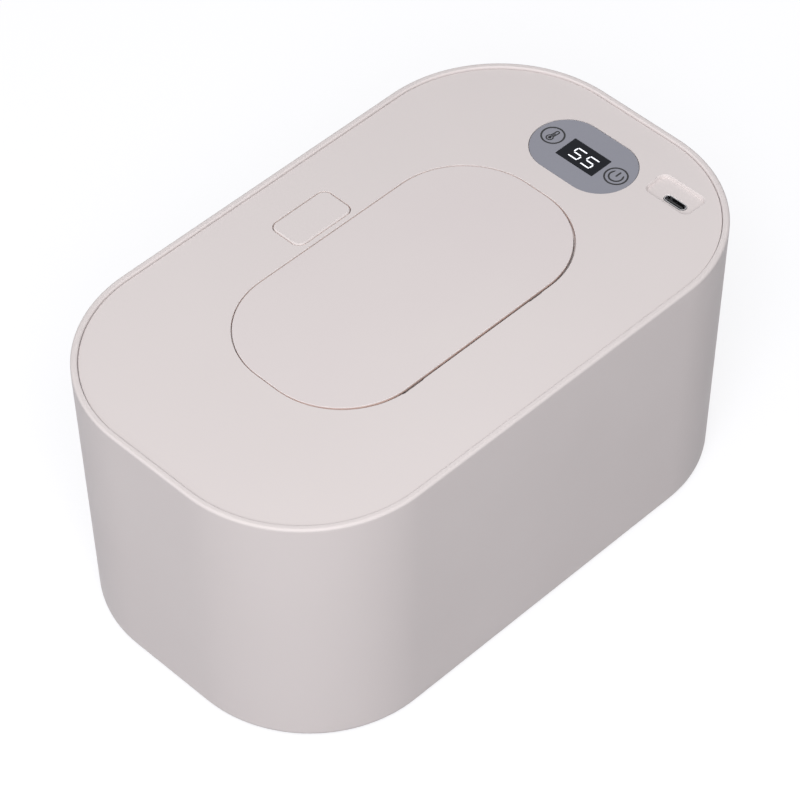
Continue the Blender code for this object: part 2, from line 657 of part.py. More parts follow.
def feet():
    """Four rubber discs pressed into the base plate's recesses."""
    top = FOOT_DROP + FOOT_RECESS - FIT_GAP
    section = [(0.0, top), (FOOT_RADIUS, top), (FOOT_RADIUS, FOOT_CHAMFER),
               (FOOT_RADIUS - FOOT_CHAMFER, 0.0), (0.0, 0.0)]
    for number, (x, y) in enumerate(corners(FOOT_X, FOOT_Y), 1):
        mesh = bpy.data.meshes.new(f"foot_{number}")
        edges = [(i, i + 1) for i in range(len(section) - 1)]
        mesh.from_pydata([(r, 0.0, z) for r, z in section], edges, [])
        foot = add_piece(f"foot_{number}", mesh, RUBBER)
        turned = foot.modifiers.new("turned", "SCREW")
        turned.steps = ROUND_SIDES
        turned.render_steps = ROUND_SIDES
        turned.use_merge_vertices = True
        turned.merge_threshold = MERGE_GAP
        foot.location = (x, y, 0.0)


def inner_tub():
    """Tub for the wipes, hung by its flange on the case's ledge, with bosses under its floor."""
    inner = TUB_INSET + TUB_WALL
    outer_round = TUB_FLOOR_ROUND + TUB_WALL
    profile = arc((inner + TUB_FLOOR_ROUND, TUB_FLOOR + TUB_FLOOR_ROUND), TUB_FLOOR_ROUND,
                  270, 180, 4)
    profile += [(inner, TUB_FLANGE_TOP), (COVER_INSET, TUB_FLANGE_TOP),
                (COVER_INSET, TUB_FLANGE_BOTTOM), (TUB_INSET, TUB_FLANGE_BOTTOM)]
    profile += arc((TUB_INSET + outer_round, TUB_BOTTOM + outer_round), outer_round, 180, 270, 4)
    tub = loft("inner_tub", [case_ring(*point) for point in profile], False, LINER_PLASTIC)
    low = BASE_TOP + FIT_GAP
    hole_top = FOOT_DROP + SCREW_HEAD_HEIGHT + BASE_SCREW_LENGTH + SCREW_TIP_ROOM
    for number, (x, y) in enumerate(corners(BASE_SCREW_X, BASE_SCREW_Y), 1):
        join(tub, rod(f"tub_boss_{number}", SCREW_BOSS_RADIUS,
                      (x, y, low), (x, y, TUB_BOTTOM + WELD_DEPTH)))
        cut(tub, rod(f"tub_boss_hole_{number}", SCREW_HOLE_RADIUS,
                     (x, y, low - CUT_OVERRUN), (x, y, hole_top), sides=SCREW_SIDES))
        screw(f"base_screw_{number}", BASE_SCREW_LENGTH,
              (x, y, FOOT_DROP + SCREW_HEAD_HEIGHT), upward=True)
    return tub


def insulation_wrap():
    """Foam sleeve between the tub and the case."""
    outer = case_ring, CASE_WALL + FIT_GAP
    inner = case_ring, TUB_INSET - FIT_GAP
    return sleeve("insulation_wrap", (outer, inner),
                  (CASE_FLANGE_TOP + FIT_GAP, TUB_LEDGE_FOOT - FIT_GAP), FOAM)


def arm_section(swing_reach):
    """Outline of a goose-neck arm and its pin hole, as loops of (y, z) points.

    The arm hangs from the lid, passes round the cover's edge outside the circle that the
    edge sweeps about the pin, and comes back up to its knuckle.
    """
    pivot = (HINGE_Y, HINGE_Z)
    rise = swing_reach - HINGE_Z
    leg_back = ARM_LEG_FRONT - ARM_LEG_WIDTH

    def below(x, radius):
        return -math.degrees(math.acos(x / radius))

    outline = arc(pivot, ARM_OUTER_RADIUS, math.degrees(math.asin(rise / ARM_OUTER_RADIUS)),
                  below(leg_back, ARM_OUTER_RADIUS), 12)
    outline += arc(pivot, KNUCKLE_RADIUS, 360 + below(leg_back, KNUCKLE_RADIUS),
                   below(ARM_LEG_FRONT, KNUCKLE_RADIUS), 12)
    outline += arc(pivot, ARM_INNER_RADIUS, below(ARM_LEG_FRONT, ARM_INNER_RADIUS),
                   math.degrees(math.asin(rise / ARM_INNER_RADIUS)), 10)
    hole = arc(pivot, PIN_RADIUS + PIN_GAP, 0, 360 - 360 / 12, 11)
    return [outline, hole]


def flip_lid():
    """Flush lid plate with two goose-neck arms and the latch's catch."""
    rings = [ring_of(LID_SIZE, inset, z, LID_CENTRE) for inset, z in
             [(LID_EDGE_DRAFT, LID_BOTTOM), (0.0, LID_BOTTOM + LID_THICKNESS / 2)]
             + arc((LID_EDGE_ROUND, COVER_TOP - LID_EDGE_ROUND), LID_EDGE_ROUND, 180, 90)]
    lid = loft("flip_lid", rings, False, SHELL_PLASTIC)
    left_high = LEFT_WELL_X[1] - FIT_GAP
    join(lid,
         extrude_section("left_arm_blank", arm_section(LID_BOTTOM + WELD_DEPTH),
                         left_high - LEFT_ARM_WIDTH, left_high),
         extrude_section("right_arm_blank", arm_section(LID_BOTTOM + WELD_DEPTH),
                         RIGHT_WELL_X[0] + FIT_GAP, RIGHT_WELL_X[1] - FIT_GAP),
         extrude_section("catch_blank", [catch_section()], -CATCH_HALF_WIDTH, CATCH_HALF_WIDTH))
    return lid


def catch_section():
    """Hook under the lid's front edge, just inside the slider's nose."""
    front = OPENING_FRONT - NOSE_REACH - CATCH_SWING_GAP
    middle = front - CATCH_LIP
    low = LID_BOTTOM - CATCH_DROP
    return [(middle - CATCH_RIB, LID_BOTTOM + WELD_DEPTH), (middle - CATCH_RIB, low),
            (front, low), (front, low + CATCH_LIP), (middle, low + CATCH_LIP + CATCH_LIP),
            (middle, LID_BOTTOM + WELD_DEPTH)]


def lid_gasket():
    """Silicone ring under the lid, which meets the bowl's seat."""
    inset = LID_SEAT_WIDTH * GASKET_SEAT_SHARE
    return sleeve("lid_gasket", ((opening_ring, inset), (opening_ring, inset + GASKET_WIDTH)),
                  (LID_SEAT + FIT_GAP, LID_BOTTOM - FIT_GAP), SILICONE)


def hinge_cuts(cover):
    """Block under the cover for the lid's hinge, with a well for each arm and the pin's bore."""
    reach = ARM_OUTER_RADIUS + FIT_GAP
    back = HINGE_Y - KNUCKLE_RADIUS - 2 * FIT_GAP
    low, high, seat = HINGE_Z - reach - BOWL_WALL, PLATE_BOTTOM + WELD_DEPTH, LID_SEAT - WELD_DEPTH
    bowl_side = OPENING_BACK + LID_SEAT_WIDTH - BOWL_WALL / 2
    block = [(back - BOWL_WALL, low), (bowl_side, low), (bowl_side, seat),
             (OPENING_BACK - WELD_DEPTH, seat), (OPENING_BACK - WELD_DEPTH, high),
             (back - BOWL_WALL, high)]
    join(cover, extrude_section("hinge_block", [block],
                                LEFT_WELL_X[0] - WELL_WALL, RIGHT_WELL_X[1] + WELL_WALL))
    for name, (low, high) in (("left_arm_well", LEFT_WELL_X), ("right_arm_well", RIGHT_WELL_X)):
        cut(cover, box(name, (low, back, HINGE_Z - reach),
                       (high, HINGE_Y + reach, COVER_TOP - HINGE_SKIN)))
    cut(cover, rod("pin_bore", PIN_RADIUS + PIN_GAP,
                   (LEFT_WELL_X[0] - WELL_WALL - CUT_OVERRUN, HINGE_Y, HINGE_Z),
                   (RIGHT_WELL_X[1] + WELL_WALL - FIT_GAP, HINGE_Y, HINGE_Z)))


def latch_cuts(cover):
    """Slots for the lid's catch and the slider's nose, in the seat and the collar."""
    back = OPENING_FRONT - NOSE_REACH - CATCH_SWING_GAP - CATCH_LIP - CATCH_RIB - CATCH_SLOT_GAP
    low = LID_SEAT - BOWL_WALL - CUT_OVERRUN
    half = CATCH_HALF_WIDTH + CATCH_SLOT_GAP
    collar_face = BUTTON_Y - BUTTON_SIZE[1] / 2 - FIT_GAP
    nose_half = NOSE_HALF_WIDTH + NOSE_SLOT_GAP
    cut(cover,
        box("catch_slot", (-half, back, low), (half, OPENING_FRONT, LID_SEAT + WELD_DEPTH)),
        box("nose_slot", (-nose_half, OPENING_FRONT - WELD_DEPTH, COLLAR_BOTTOM - CUT_OVERRUN),
            (nose_half, collar_face + WELD_DEPTH, NOSE_TOP + NOSE_SLOT_GAP)))


def button_ring(inset, z):
    """The push button's outline."""
    return ring_of(BUTTON_SIZE, inset, z, (0.0, BUTTON_Y), SMALL_CORNER_STEPS)


def button_cuts(cover):
    """The button's hole, with a collar under it that guides the button."""
    join(cover, sleeve("button_collar",
                       ((button_ring, -FIT_GAP - COLLAR_WALL), (button_ring, -FIT_GAP)),
                       (COLLAR_BOTTOM, PLATE_BOTTOM + WELD_DEPTH)))
    hole = [button_ring(-FIT_GAP, z) for z in (PLATE_BOTTOM - WELD_DEPTH, COVER_TOP + CUT_OVERRUN)]
    cut(cover, loft("button_hole", hole, False))


def panel_cuts(cover):
    """Shallow pocket for the touch panel, over a pad, with a hole for the display."""
    centre = (PANEL_X, PANEL_Y)
    pad = [ring_of(PANEL_SIZE, -PANEL_GAP - PAD_THICKNESS, z, centre)
           for z in (PAD_BOTTOM, PLATE_BOTTOM + WELD_DEPTH)]
    pocket = [ring_of(PANEL_SIZE, -PANEL_GAP, z, centre)
              for z in (POCKET_FLOOR, COVER_TOP + CUT_OVERRUN)]
    window = [ring_of(WINDOW_SIZE, 0.0, z, (WINDOW_X, WINDOW_Y), 1)
              for z in (PAD_BOTTOM - CUT_OVERRUN, POCKET_FLOOR + WELD_DEPTH)]
    join(cover, loft("panel_pad", pad, False))
    cut(cover, loft("panel_pocket", pocket, False), loft("display_hole", window, False))


def port_cuts(cover):
    """Sloped recess and hole for the charging port, over a pad."""
    centre = (RECESS_X, RECESS_Y)
    join(cover, slab("port_pad", RECESS_SIZE, PAD_BOTTOM, PLATE_BOTTOM + WELD_DEPTH, centre))
    slope = [(RECESS_SLOPE, RECESS_FLOOR), (0.0, COVER_TOP), (0.0, COVER_TOP + CUT_OVERRUN)]
    recess = [ring_of(RECESS_SIZE, inset, z, centre, SMALL_CORNER_STEPS) for inset, z in slope]
    hole = [ring_of(PORT_SIZE, -PORT_GAP, z, (PORT_X, PORT_Y), SMALL_CORNER_STEPS)
            for z in (PAD_BOTTOM - CUT_OVERRUN, RECESS_FLOOR + WELD_DEPTH)]
    cut(cover, loft("port_recess", recess, False), loft("port_hole", hole, False))


def cover_bosses(cover):
    """Screw bosses that reach down from the cover's plate to the liner's floor."""
    low = LINER_FLOOR + FIT_GAP
    hole_top = LINER_BOTTOM - FIT_GAP + COVER_SCREW_LENGTH + SCREW_TIP_ROOM
    for number, (x, y) in enumerate(COVER_SCREW_PLACES, 1):
        join(cover, rod(f"cover_boss_{number}", SCREW_BOSS_RADIUS,
                        (x, y, low), (x, y, PLATE_BOTTOM + WELD_DEPTH)))
        cut(cover, rod(f"cover_boss_hole_{number}", SCREW_HOLE_RADIUS,
                       (x, y, low - CUT_OVERRUN), (x, y, hole_top), sides=SCREW_SIDES))
        screw(f"cover_screw_{number}", COVER_SCREW_LENGTH,
              (x, y, LINER_BOTTOM - FIT_GAP), upward=True)


def top_cover():
    """The plate set into the rim, its skirt, and the seat and bowl under the flip lid."""
    edge = arc((COVER_INSET + COVER_EDGE_ROUND, COVER_TOP - COVER_EDGE_ROUND),
               COVER_EDGE_ROUND, 180, 90)
    rings = [case_ring(COVER_INSET, SKIRT_BOTTOM)]
    rings += [case_ring(*point) for point in edge]
    rings += [opening_ring(*point) for point in
              arc((-OPENING_EDGE_ROUND, COVER_TOP - OPENING_EDGE_ROUND), OPENING_EDGE_ROUND, 90, 0)]
    rings += [opening_ring(0.0, LID_SEAT), opening_ring(LID_SEAT_WIDTH, LID_SEAT),
              opening_ring(LID_SEAT_WIDTH, BOWL_FLOOR),
              gate_ring(0.0, BOWL_FLOOR), gate_ring(0.0, BOWL_BOTTOM),
              opening_ring(LID_SEAT_WIDTH - BOWL_WALL, BOWL_BOTTOM),
              opening_ring(LID_SEAT_WIDTH - BOWL_WALL, LID_SEAT - BOWL_WALL),
              opening_ring(-BOWL_WALL, LID_SEAT - BOWL_WALL),
              opening_ring(-BOWL_WALL, PLATE_BOTTOM),
              case_ring(SKIRT_INSET, PLATE_BOTTOM), case_ring(SKIRT_INSET, SKIRT_BOTTOM)]
    cover = loft("top_cover", rings, True, SHELL_PLASTIC)
    hinge_cuts(cover)
    button_cuts(cover)
    latch_cuts(cover)
    panel_cuts(cover)
    port_cuts(cover)
    cover_bosses(cover)
    return cover


def dispensing_gate():
    """Soft gate through the bowl's floor, with a long slot for the wipe, and its clamp frame."""
    slot_centre = (0.0, LID_Y)
    skin_bottom = BOWL_BOTTOM + FIT_GAP
    skin_top = skin_bottom + GATE_SKIN
    rings = [gate_ring(-GATE_FLANGE_REACH, GATE_FLANGE_BOTTOM),
             gate_ring(-GATE_FLANGE_REACH, GATE_FLANGE_TOP),
             gate_ring(GATE_LIP, GATE_FLANGE_TOP), gate_ring(GATE_LIP, skin_top),
             ring_of(GATE_SLOT_SIZE, 0.0, skin_top, slot_centre),
             ring_of(GATE_SLOT_SIZE, 0.0, skin_bottom, slot_centre),
             gate_ring(FIT_GAP, skin_bottom), gate_ring(FIT_GAP, GATE_FLANGE_BOTTOM)]
    loft("dispensing_gate", rings, True, SILICONE)
    low = GATE_FLANGE_TOP + FIT_GAP
    sleeve("gate_frame", ((gate_ring, -GATE_FRAME_REACH), (gate_ring, 0.0)),
           (low, low + GATE_FRAME_HEIGHT), LINER_PLASTIC)


def hinge_pin_and_spring():
    """Steel pin through both arms, and the spring beside the left one that opens the lid."""
    rod("hinge_pin", PIN_RADIUS, (LEFT_WELL_X[0] - WELL_WALL + FIT_GAP, HINGE_Y, HINGE_Z),
        (RIGHT_WELL_X[1] + WELL_WALL - 2 * FIT_GAP, HINGE_Y, HINGE_Z), STEEL, SCREW_SIDES)
    radius = PIN_RADIUS + PIN_GAP + LID_SPRING_WIRE / 2 + PIN_GAP / 2
    start = LEFT_WELL_X[0] + FIT_GAP + LID_SPRING_WIRE / 2
    end = start + LID_SPRING_TURNS * LID_SPRING_PITCH
    arm_x = LEFT_WELL_X[1] - FIT_GAP - LEFT_ARM_WIDTH
    count = LID_SPRING_TURNS * COIL_STEPS
    points = []
    for step in range(count + 1):
        angle = math.pi + 2 * math.pi * step / COIL_STEPS
        points.append((start + (end - start) * step / count,
                       HINGE_Y + radius * math.cos(angle), HINGE_Z + radius * math.sin(angle)))
    leg_y = HINGE_Y + ARM_LEG_FRONT - ARM_LEG_WIDTH - FIT_GAP - LID_SPRING_WIRE / 2
    fixed_leg = (start, HINGE_Y - KNUCKLE_RADIUS, HINGE_Z - LID_SPRING_LEG)
    free_leg = [(end, leg_y, HINGE_Z - LID_SPRING_LEG),
                (arm_x + LID_SPRING_FOOT, leg_y, HINGE_Z - LID_SPRING_LEG)]
    wire("lid_spring", [fixed_leg, *points, *free_leg], LID_SPRING_WIRE / 2, STEEL)


def ramp_line(z, offset):
    """The y of the 45-degree ramp face at height z, moved out by a gap square to the face."""
    return BUTTON_Y + BUTTON_LEG_BACK + z - leg_bottom() + offset * math.sqrt(2) - BUTTON_LEG_DEPTH


def leg_bottom():
    """Height of the tips of the button's legs at rest."""
    return SLIDER_TOP - BUTTON_LEG_BACK / 2


def push_button():
    """Hollow button with stop tabs, two ramped legs, and a notch that the latch's nose enters."""
    rings = [button_ring(BUTTON_WALL, BUTTON_CEILING), button_ring(BUTTON_WALL, BUTTON_BOTTOM),
             button_ring(0.0, BUTTON_BOTTOM)]
    rings += [button_ring(*point) for point in
              arc((BUTTON_EDGE_ROUND, BUTTON_TOP_Z - BUTTON_EDGE_ROUND), BUTTON_EDGE_ROUND,
                  180, 90, 3)]
    button = loft("push_button", rings, False, SHELL_PLASTIC)
    half = BUTTON_SIZE[0] / 2
    leg_back, leg_low = BUTTON_Y + BUTTON_LEG_BACK, leg_bottom()
    leg_front = leg_back - BUTTON_LEG_DEPTH
    leg = [(leg_front, BUTTON_CEILING + WELD_DEPTH), (leg_front, leg_low),
           (leg_back, leg_low + BUTTON_LEG_DEPTH), (leg_back, BUTTON_CEILING + WELD_DEPTH)]
    for side, word in ((-1, "left"), (1, "right")):
        xs = sorted((side * (half - BUTTON_WALL / 2), side * (half + BUTTON_TAB_REACH)))
        join(button, box(f"{word}_tab_blank",
                         (xs[0], BUTTON_Y - BUTTON_TAB_WIDTH / 2, BUTTON_BOTTOM),
                         (xs[1], BUTTON_Y + BUTTON_TAB_WIDTH / 2,
                          BUTTON_BOTTOM + BUTTON_TAB_HEIGHT)))
        join(button, extrude_section(f"{word}_leg_blank", [leg],
                                     *sorted(side * x for x in BUTTON_LEG_X)))
    notch_half = NOSE_HALF_WIDTH + NOSE_SLOT_GAP
    front = BUTTON_Y - BUTTON_SIZE[1] / 2
    cut(button, box("nose_notch", (-notch_half, front - CUT_OVERRUN, BUTTON_BOTTOM - CUT_OVERRUN),
                    (notch_half, front + BUTTON_WALL + WELD_DEPTH,
                     NOSE_TOP + BUTTON_TRAVEL + FIT_GAP)))
    return button


def latch_slider():
    """Frame under the button that carries the latch's nose and is drawn back by the ramps."""
    front = OPENING_FRONT + FIT_GAP
    front_high = front + SLIDER_FRONT_DEPTH
    back = BUTTON_Y + SLIDER_REACH_BACK
    inner, outer = SLIDER_RAIL_X
    slider = box("latch_slider", (-SLIDER_EAR_X, front, SLIDER_BOTTOM),
                 (SLIDER_EAR_X, front_high, SLIDER_TOP), BLACK_PLASTIC)
    ramp_back = ramp_line(SLIDER_BOTTOM + RAMP_HEIGHT, FIT_GAP) + RAMP_DEPTH
    ramp = [(ramp_line(SLIDER_BOTTOM, FIT_GAP), SLIDER_BOTTOM),
            (ramp_line(SLIDER_BOTTOM + RAMP_HEIGHT, FIT_GAP), SLIDER_BOTTOM + RAMP_HEIGHT),
            (ramp_back, SLIDER_BOTTOM + RAMP_HEIGHT), (ramp_back, SLIDER_BOTTOM)]
    for side, word in ((-1, "left"), (1, "right")):
        rail = sorted((side * inner, side * outer))
        join(slider,
             box(f"{word}_rail_blank", (rail[0], front_high - WELD_DEPTH, SLIDER_BOTTOM),
                 (rail[1], back + SLIDER_BACK_DEPTH, SLIDER_TOP)),
             extrude_section(f"{word}_ramp_blank", [ramp],
                             *sorted((side * BUTTON_LEG_X[0], side * (inner + WELD_DEPTH)))))
    nose_tip = OPENING_FRONT - NOSE_REACH
    nose = [(front, SLIDER_BOTTOM), (front + RISER_DEPTH, SLIDER_BOTTOM),
            (front + RISER_DEPTH, NOSE_TOP), (nose_tip, NOSE_TOP),
            (nose_tip, NOSE_BOTTOM), (front, NOSE_BOTTOM)]
    join(slider,
         box("back_bar_blank", (-inner - WELD_DEPTH, back, SLIDER_BOTTOM),
             (inner + WELD_DEPTH, back + SLIDER_BACK_DEPTH, SLIDER_TOP)),
         extrude_section("nose_blank", [nose], -NOSE_HALF_WIDTH, NOSE_HALF_WIDTH))
    return slider


def latch_springs():
    """Coil springs: one under the button, and two that push the slider towards the lid."""
    wire("button_spring",
         coil(BUTTON_SPRING_RADIUS,
              (0.0, BUTTON_Y, SPRING_SEAT_Z + FIT_GAP + BUTTON_SPRING_WIRE / 2),
              (0.0, BUTTON_Y, BUTTON_CEILING - FIT_GAP - BUTTON_SPRING_WIRE / 2),
              BUTTON_SPRING_TURNS),
         BUTTON_SPRING_WIRE / 2, STEEL)
    start = OPENING_FRONT + FIT_GAP + SLIDER_FRONT_DEPTH + FIT_GAP + LATCH_SPRING_WIRE / 2
    end = start + LATCH_SPRING_LENGTH - LATCH_SPRING_WIRE
    z = SLIDER_BOTTOM + SLIDER_THICKNESS / 2
    for side, word in ((-1, "left"), (1, "right")):
        x = side * LATCH_SPRING_X
        wire(f"latch_spring_{word}",
             coil(LATCH_SPRING_RADIUS, (x, start, z), (x, end, z), LATCH_SPRING_TURNS),
             LATCH_SPRING_WIRE / 2, STEEL)


def liner_latch_mounts(liner):
    """Guides for the slider, the button spring's seat and the slider springs' stops."""
    front = OPENING_FRONT + FIT_GAP
    back = BUTTON_Y + SLIDER_REACH_BACK + SLIDER_BACK_DEPTH
    rail_middle = sum(SLIDER_RAIL_X) / 2
    stop_front = front + SLIDER_FRONT_DEPTH + LATCH_SPRING_LENGTH + 2 * FIT_GAP
    foot = LINER_FLOOR - WELD_DEPTH
    for side, word in ((-1, "left"), (1, "right")):
        x, stop_x = side * rail_middle, side * LATCH_SPRING_X
        join(liner,
             box(f"{word}_guide_blank", (x - GUIDE_WIDTH / 2, front, foot),
                 (x + GUIDE_WIDTH / 2, back, SLIDER_BOTTOM - FIT_GAP)),
             box(f"{word}_stop_blank", (stop_x - LATCH_STOP_HALF_WIDTH, stop_front, foot),
                 (stop_x + LATCH_STOP_HALF_WIDTH, stop_front + LATCH_STOP_DEPTH,
                  LINER_FLOOR + LATCH_STOP_HEIGHT)))
    join(liner,
         rod("spring_post_blank", SPRING_POST_RADIUS, (0.0, BUTTON_Y, foot),
             (0.0, BUTTON_Y, SPRING_SEAT_Z)),
         rod("spring_seat_blank", SPRING_SEAT_RADIUS,
             (0.0, BUTTON_Y, SPRING_SEAT_Z - SPRING_SEAT_THICKNESS),
             (0.0, BUTTON_Y, SPRING_SEAT_Z)))


def liner_screws(liner):
    """Bosses for the board's and the heater's screws, and holes for the cover's screws."""
    foot = LINER_FLOOR - WELD_DEPTH
    board_low = BOARD_TOP + FIT_GAP - BOARD_SCREW_LENGTH - SCREW_TIP_ROOM
    for number, (x, y) in enumerate(BOARD_SCREW_PLACES, 1):
        join(liner, rod(f"board_boss_{number}", SCREW_BOSS_RADIUS,
                        (x, y, foot), (x, y, LINER_RIM_TOP)))
        cut(liner, rod(f"board_boss_hole_{number}", SCREW_HOLE_RADIUS,
                       (x, y, board_low), (x, y, LINER_RIM_TOP + CUT_OVERRUN), sides=SCREW_SIDES))
        screw(f"board_screw_{number}", BOARD_SCREW_LENGTH, (x, y, BOARD_TOP + FIT_GAP),
              upward=False)
    seat = HEATER_BOTTOM - FIT_GAP
    for number, (x, y) in enumerate(corners(HEATER_SCREW_X, HEATER_SCREW_Y), 1):
        join(liner, rod(f"heater_boss_{number}", SCREW_BOSS_RADIUS,
                        (x, y, foot), (x, y, LINER_FLOOR + HEATER_BOSS_HEIGHT)))
        cut(liner, rod(f"heater_boss_hole_{number}", SCREW_HOLE_RADIUS,
                       (x, y, LINER_BOTTOM - CUT_OVERRUN),
                       (x, y, seat + HEATER_SCREW_LENGTH + SCREW_TIP_ROOM), sides=SCREW_SIDES))
        screw(f"heater_screw_{number}", HEATER_SCREW_LENGTH, (x, y, seat), upward=True)
    for number, (x, y) in enumerate(COVER_SCREW_PLACES, 1):
        cut(liner, rod(f"liner_screw_hole_{number}", SCREW_HOLE_RADIUS,
                       (x, y, LINER_BOTTOM - CUT_OVERRUN), (x, y, LINER_FLOOR + WELD_DEPTH),
                       sides=SCREW_SIDES))


def floor_window(name, x, y, half_x, half_y):
    """A cutter through the liner's floor, over the heating film."""
    return box(name, (x - half_x, y - half_y, LINER_BOTTOM - CUT_OVERRUN),
               (x + half_x, y + half_y, LINER_FLOOR + CUT_OVERRUN))


def cover_liner():
    """Lower housing of the cover: a rim on the seal, a plug in the tub, and the gate's throat."""
    rim_inset = SKIRT_INSET + FIT_GAP
    inner = PLUG_INSET + LINER_WALL
    throat_top = BOWL_BOTTOM - FIT_GAP
    rings = [case_ring(rim_inset, LINER_RIM_BOTTOM), case_ring(rim_inset, LINER_RIM_TOP),
             case_ring(inner, LINER_RIM_TOP), case_ring(inner, LINER_FLOOR),
             gate_ring(-THROAT_WALL, LINER_FLOOR), gate_ring(-THROAT_WALL, throat_top),
             gate_ring(0.0, throat_top), gate_ring(0.0, LINER_BOTTOM),
             case_ring(PLUG_INSET, LINER_BOTTOM), case_ring(PLUG_INSET, LINER_RIM_BOTTOM)]
    liner = loft("cover_liner", rings, True, LINER_PLASTIC)
    liner_latch_mounts(liner)
    liner_screws(liner)
    lead_half = LEAD_SPACING / 2 + LEAD_RADIUS + WINDOW_MARGIN
    cut(liner,
        floor_window("sensor_window", SENSOR_X, SENSOR_Y, SENSOR_RADIUS + WINDOW_MARGIN,
                     SENSOR_LENGTH / 2 + WINDOW_MARGIN),
        floor_window("fuse_window", SENSOR_X, FUSE_Y, FUSE_RADIUS + WINDOW_MARGIN,
                     FUSE_LENGTH / 2 + WINDOW_MARGIN),
        floor_window("lead_window", BOARD_X[0] + LEAD_BOARD_INSET - LEAD_RUN, LEAD_Y,
                     LEAD_RADIUS + WINDOW_MARGIN, lead_half))
    return liner


def cover_seal():
    """Silicone ring between the tub's flange and the liner's rim."""
    return sleeve("cover_seal", ((case_ring, SEAL_INSET), (case_ring, SEAL_INSET + SEAL_WIDTH)),
                  (SEAL_BOTTOM, SEAL_BOTTOM + SEAL_HEIGHT), SILICONE)


def heater():
    """Heating film and aluminium plate under the liner, with the sensor, the fuse and leads."""
    layers = (("heating_film", HEATER_INSET + FILM_MARGIN, FILM_BOTTOM, FILM_TOP, HEATER_FILM),
              ("heater_plate", HEATER_INSET, HEATER_BOTTOM, HEATER_TOP, ALUMINIUM))
    for name, inset, low, high, material in layers:
        layer = sleeve(name, ((case_ring, inset), (gate_ring, -HEATER_THROAT_GAP)),
                       (low, high), material)
        for number, (x, y) in enumerate(corners(HEATER_SCREW_X, HEATER_SCREW_Y), 1):
            cut(layer, rod(f"{name}_hole_{number}", SCREW_HOLE_RADIUS,
                           (x, y, low - CUT_OVERRUN), (x, y, high + CUT_OVERRUN),
                           sides=SCREW_SIDES))
    for name, radius, length, y, material in (
            ("temperature_sensor", SENSOR_RADIUS, SENSOR_LENGTH, SENSOR_Y, BLACK_PLASTIC),
            ("thermal_fuse", FUSE_RADIUS, FUSE_LENGTH, FUSE_Y, STEEL)):
        z = FILM_TOP + FIT_GAP + radius
        rod(name, radius, (SENSOR_X, y - length / 2, z), (SENSOR_X, y + length / 2, z), material)
    start_x = BOARD_X[0] + LEAD_BOARD_INSET
    low, high = FILM_TOP + FIT_GAP, BOARD_TOP + FIT_GAP + LEAD_RADIUS + LEAD_ARCH
    for side, word, material in ((-1, "red", LEAD_RED), (1, "black", BLACK_PLASTIC)):
        y = LEAD_Y + side * LEAD_SPACING / 2
        route = [(start_x, y, BOARD_TOP + FIT_GAP)]
        route += [(start_x - LEAD_RUN * step / LEAD_STEPS, y,
                   low + (high - low) * math.cos(math.pi / 2 * (step / LEAD_STEPS) ** 2))
                  for step in range(1, LEAD_STEPS + 1)]
        wire(f"heater_lead_{word}", route, LEAD_RADIUS, material)


def touch_panel():
    """Grey touch panel, flush in its pocket, with the dark display window let into it."""
    centre = (PANEL_X, PANEL_Y)
    panel = loft("control_panel", [ring_of(PANEL_SIZE, 0.0, z, centre)
                                   for z in (PANEL_BOTTOM, COVER_TOP)], False, PANEL_PLASTIC)
    hole = [ring_of(WINDOW_SIZE, -PANEL_GAP, z, (WINDOW_X, WINDOW_Y), 1)
            for z in (PANEL_BOTTOM - CUT_OVERRUN, COVER_TOP + CUT_OVERRUN)]
    cut(panel, loft("window_hole", hole, False))
    loft("display_window", [ring_of(WINDOW_SIZE, 0.0, z, (WINDOW_X, WINDOW_Y), 1)
                            for z in (PANEL_BOTTOM, COVER_TOP)], False, WINDOW_PLASTIC)


def board_and_port():
    """Control board with the display, the touch springs and the charging port on it."""
    board = box("control_board", (BOARD_X[0], BOARD_Y[0], BOARD_BOTTOM),
                (BOARD_X[1], BOARD_Y[1], BOARD_TOP), BOARD_GREEN)
    for number, (x, y) in enumerate(BOARD_SCREW_PLACES, 1):
        cut(board, rod(f"board_hole_{number}", SCREW_HOLE_RADIUS,
                       (x, y, BOARD_BOTTOM - CUT_OVERRUN), (x, y, BOARD_TOP + CUT_OVERRUN),
                       sides=SCREW_SIDES))
    low = BOARD_TOP + FIT_GAP
    half_x, half_y = WINDOW_SIZE[0] / 2 - FIT_GAP, WINDOW_SIZE[1] / 2 - FIT_GAP
    box("display_module", (WINDOW_X - half_x, WINDOW_Y - half_y, low),
        (WINDOW_X + half_x, WINDOW_Y + half_y, PANEL_BOTTOM - FIT_GAP), BLACK_PLASTIC)
    for side, word in ((-1, "power"), (1, "heat")):
        y = PANEL_Y + side * TOUCH_OFFSET_Y
        wire(f"touch_spring_{word}",
             coil(TOUCH_SPRING_RADIUS, (PANEL_X, y, low + TOUCH_SPRING_WIRE / 2),
                  (PANEL_X, y, PAD_BOTTOM - FIT_GAP - TOUCH_SPRING_WIRE / 2), TOUCH_SPRING_TURNS),
             TOUCH_SPRING_WIRE / 2, STEEL)
    centre = (PORT_X, PORT_Y)
    cup = [(PORT_WALL, low + PORT_FLOOR), (PORT_WALL, RECESS_FLOOR), (0.0, RECESS_FLOOR),
           (0.0, low)]
    loft("usb_port", [ring_of(PORT_SIZE, inset, z, centre, SMALL_CORNER_STEPS)
                      for inset, z in cup], False, STEEL)
    half_x, half_y = TONGUE_SIZE[0] / 2, TONGUE_SIZE[1] / 2
    box("usb_tongue", (PORT_X - half_x, PORT_Y - half_y, low + PORT_FLOOR + FIT_GAP),
        (PORT_X + half_x, PORT_Y + half_y, RECESS_FLOOR - TONGUE_DROP), BLACK_PLASTIC)


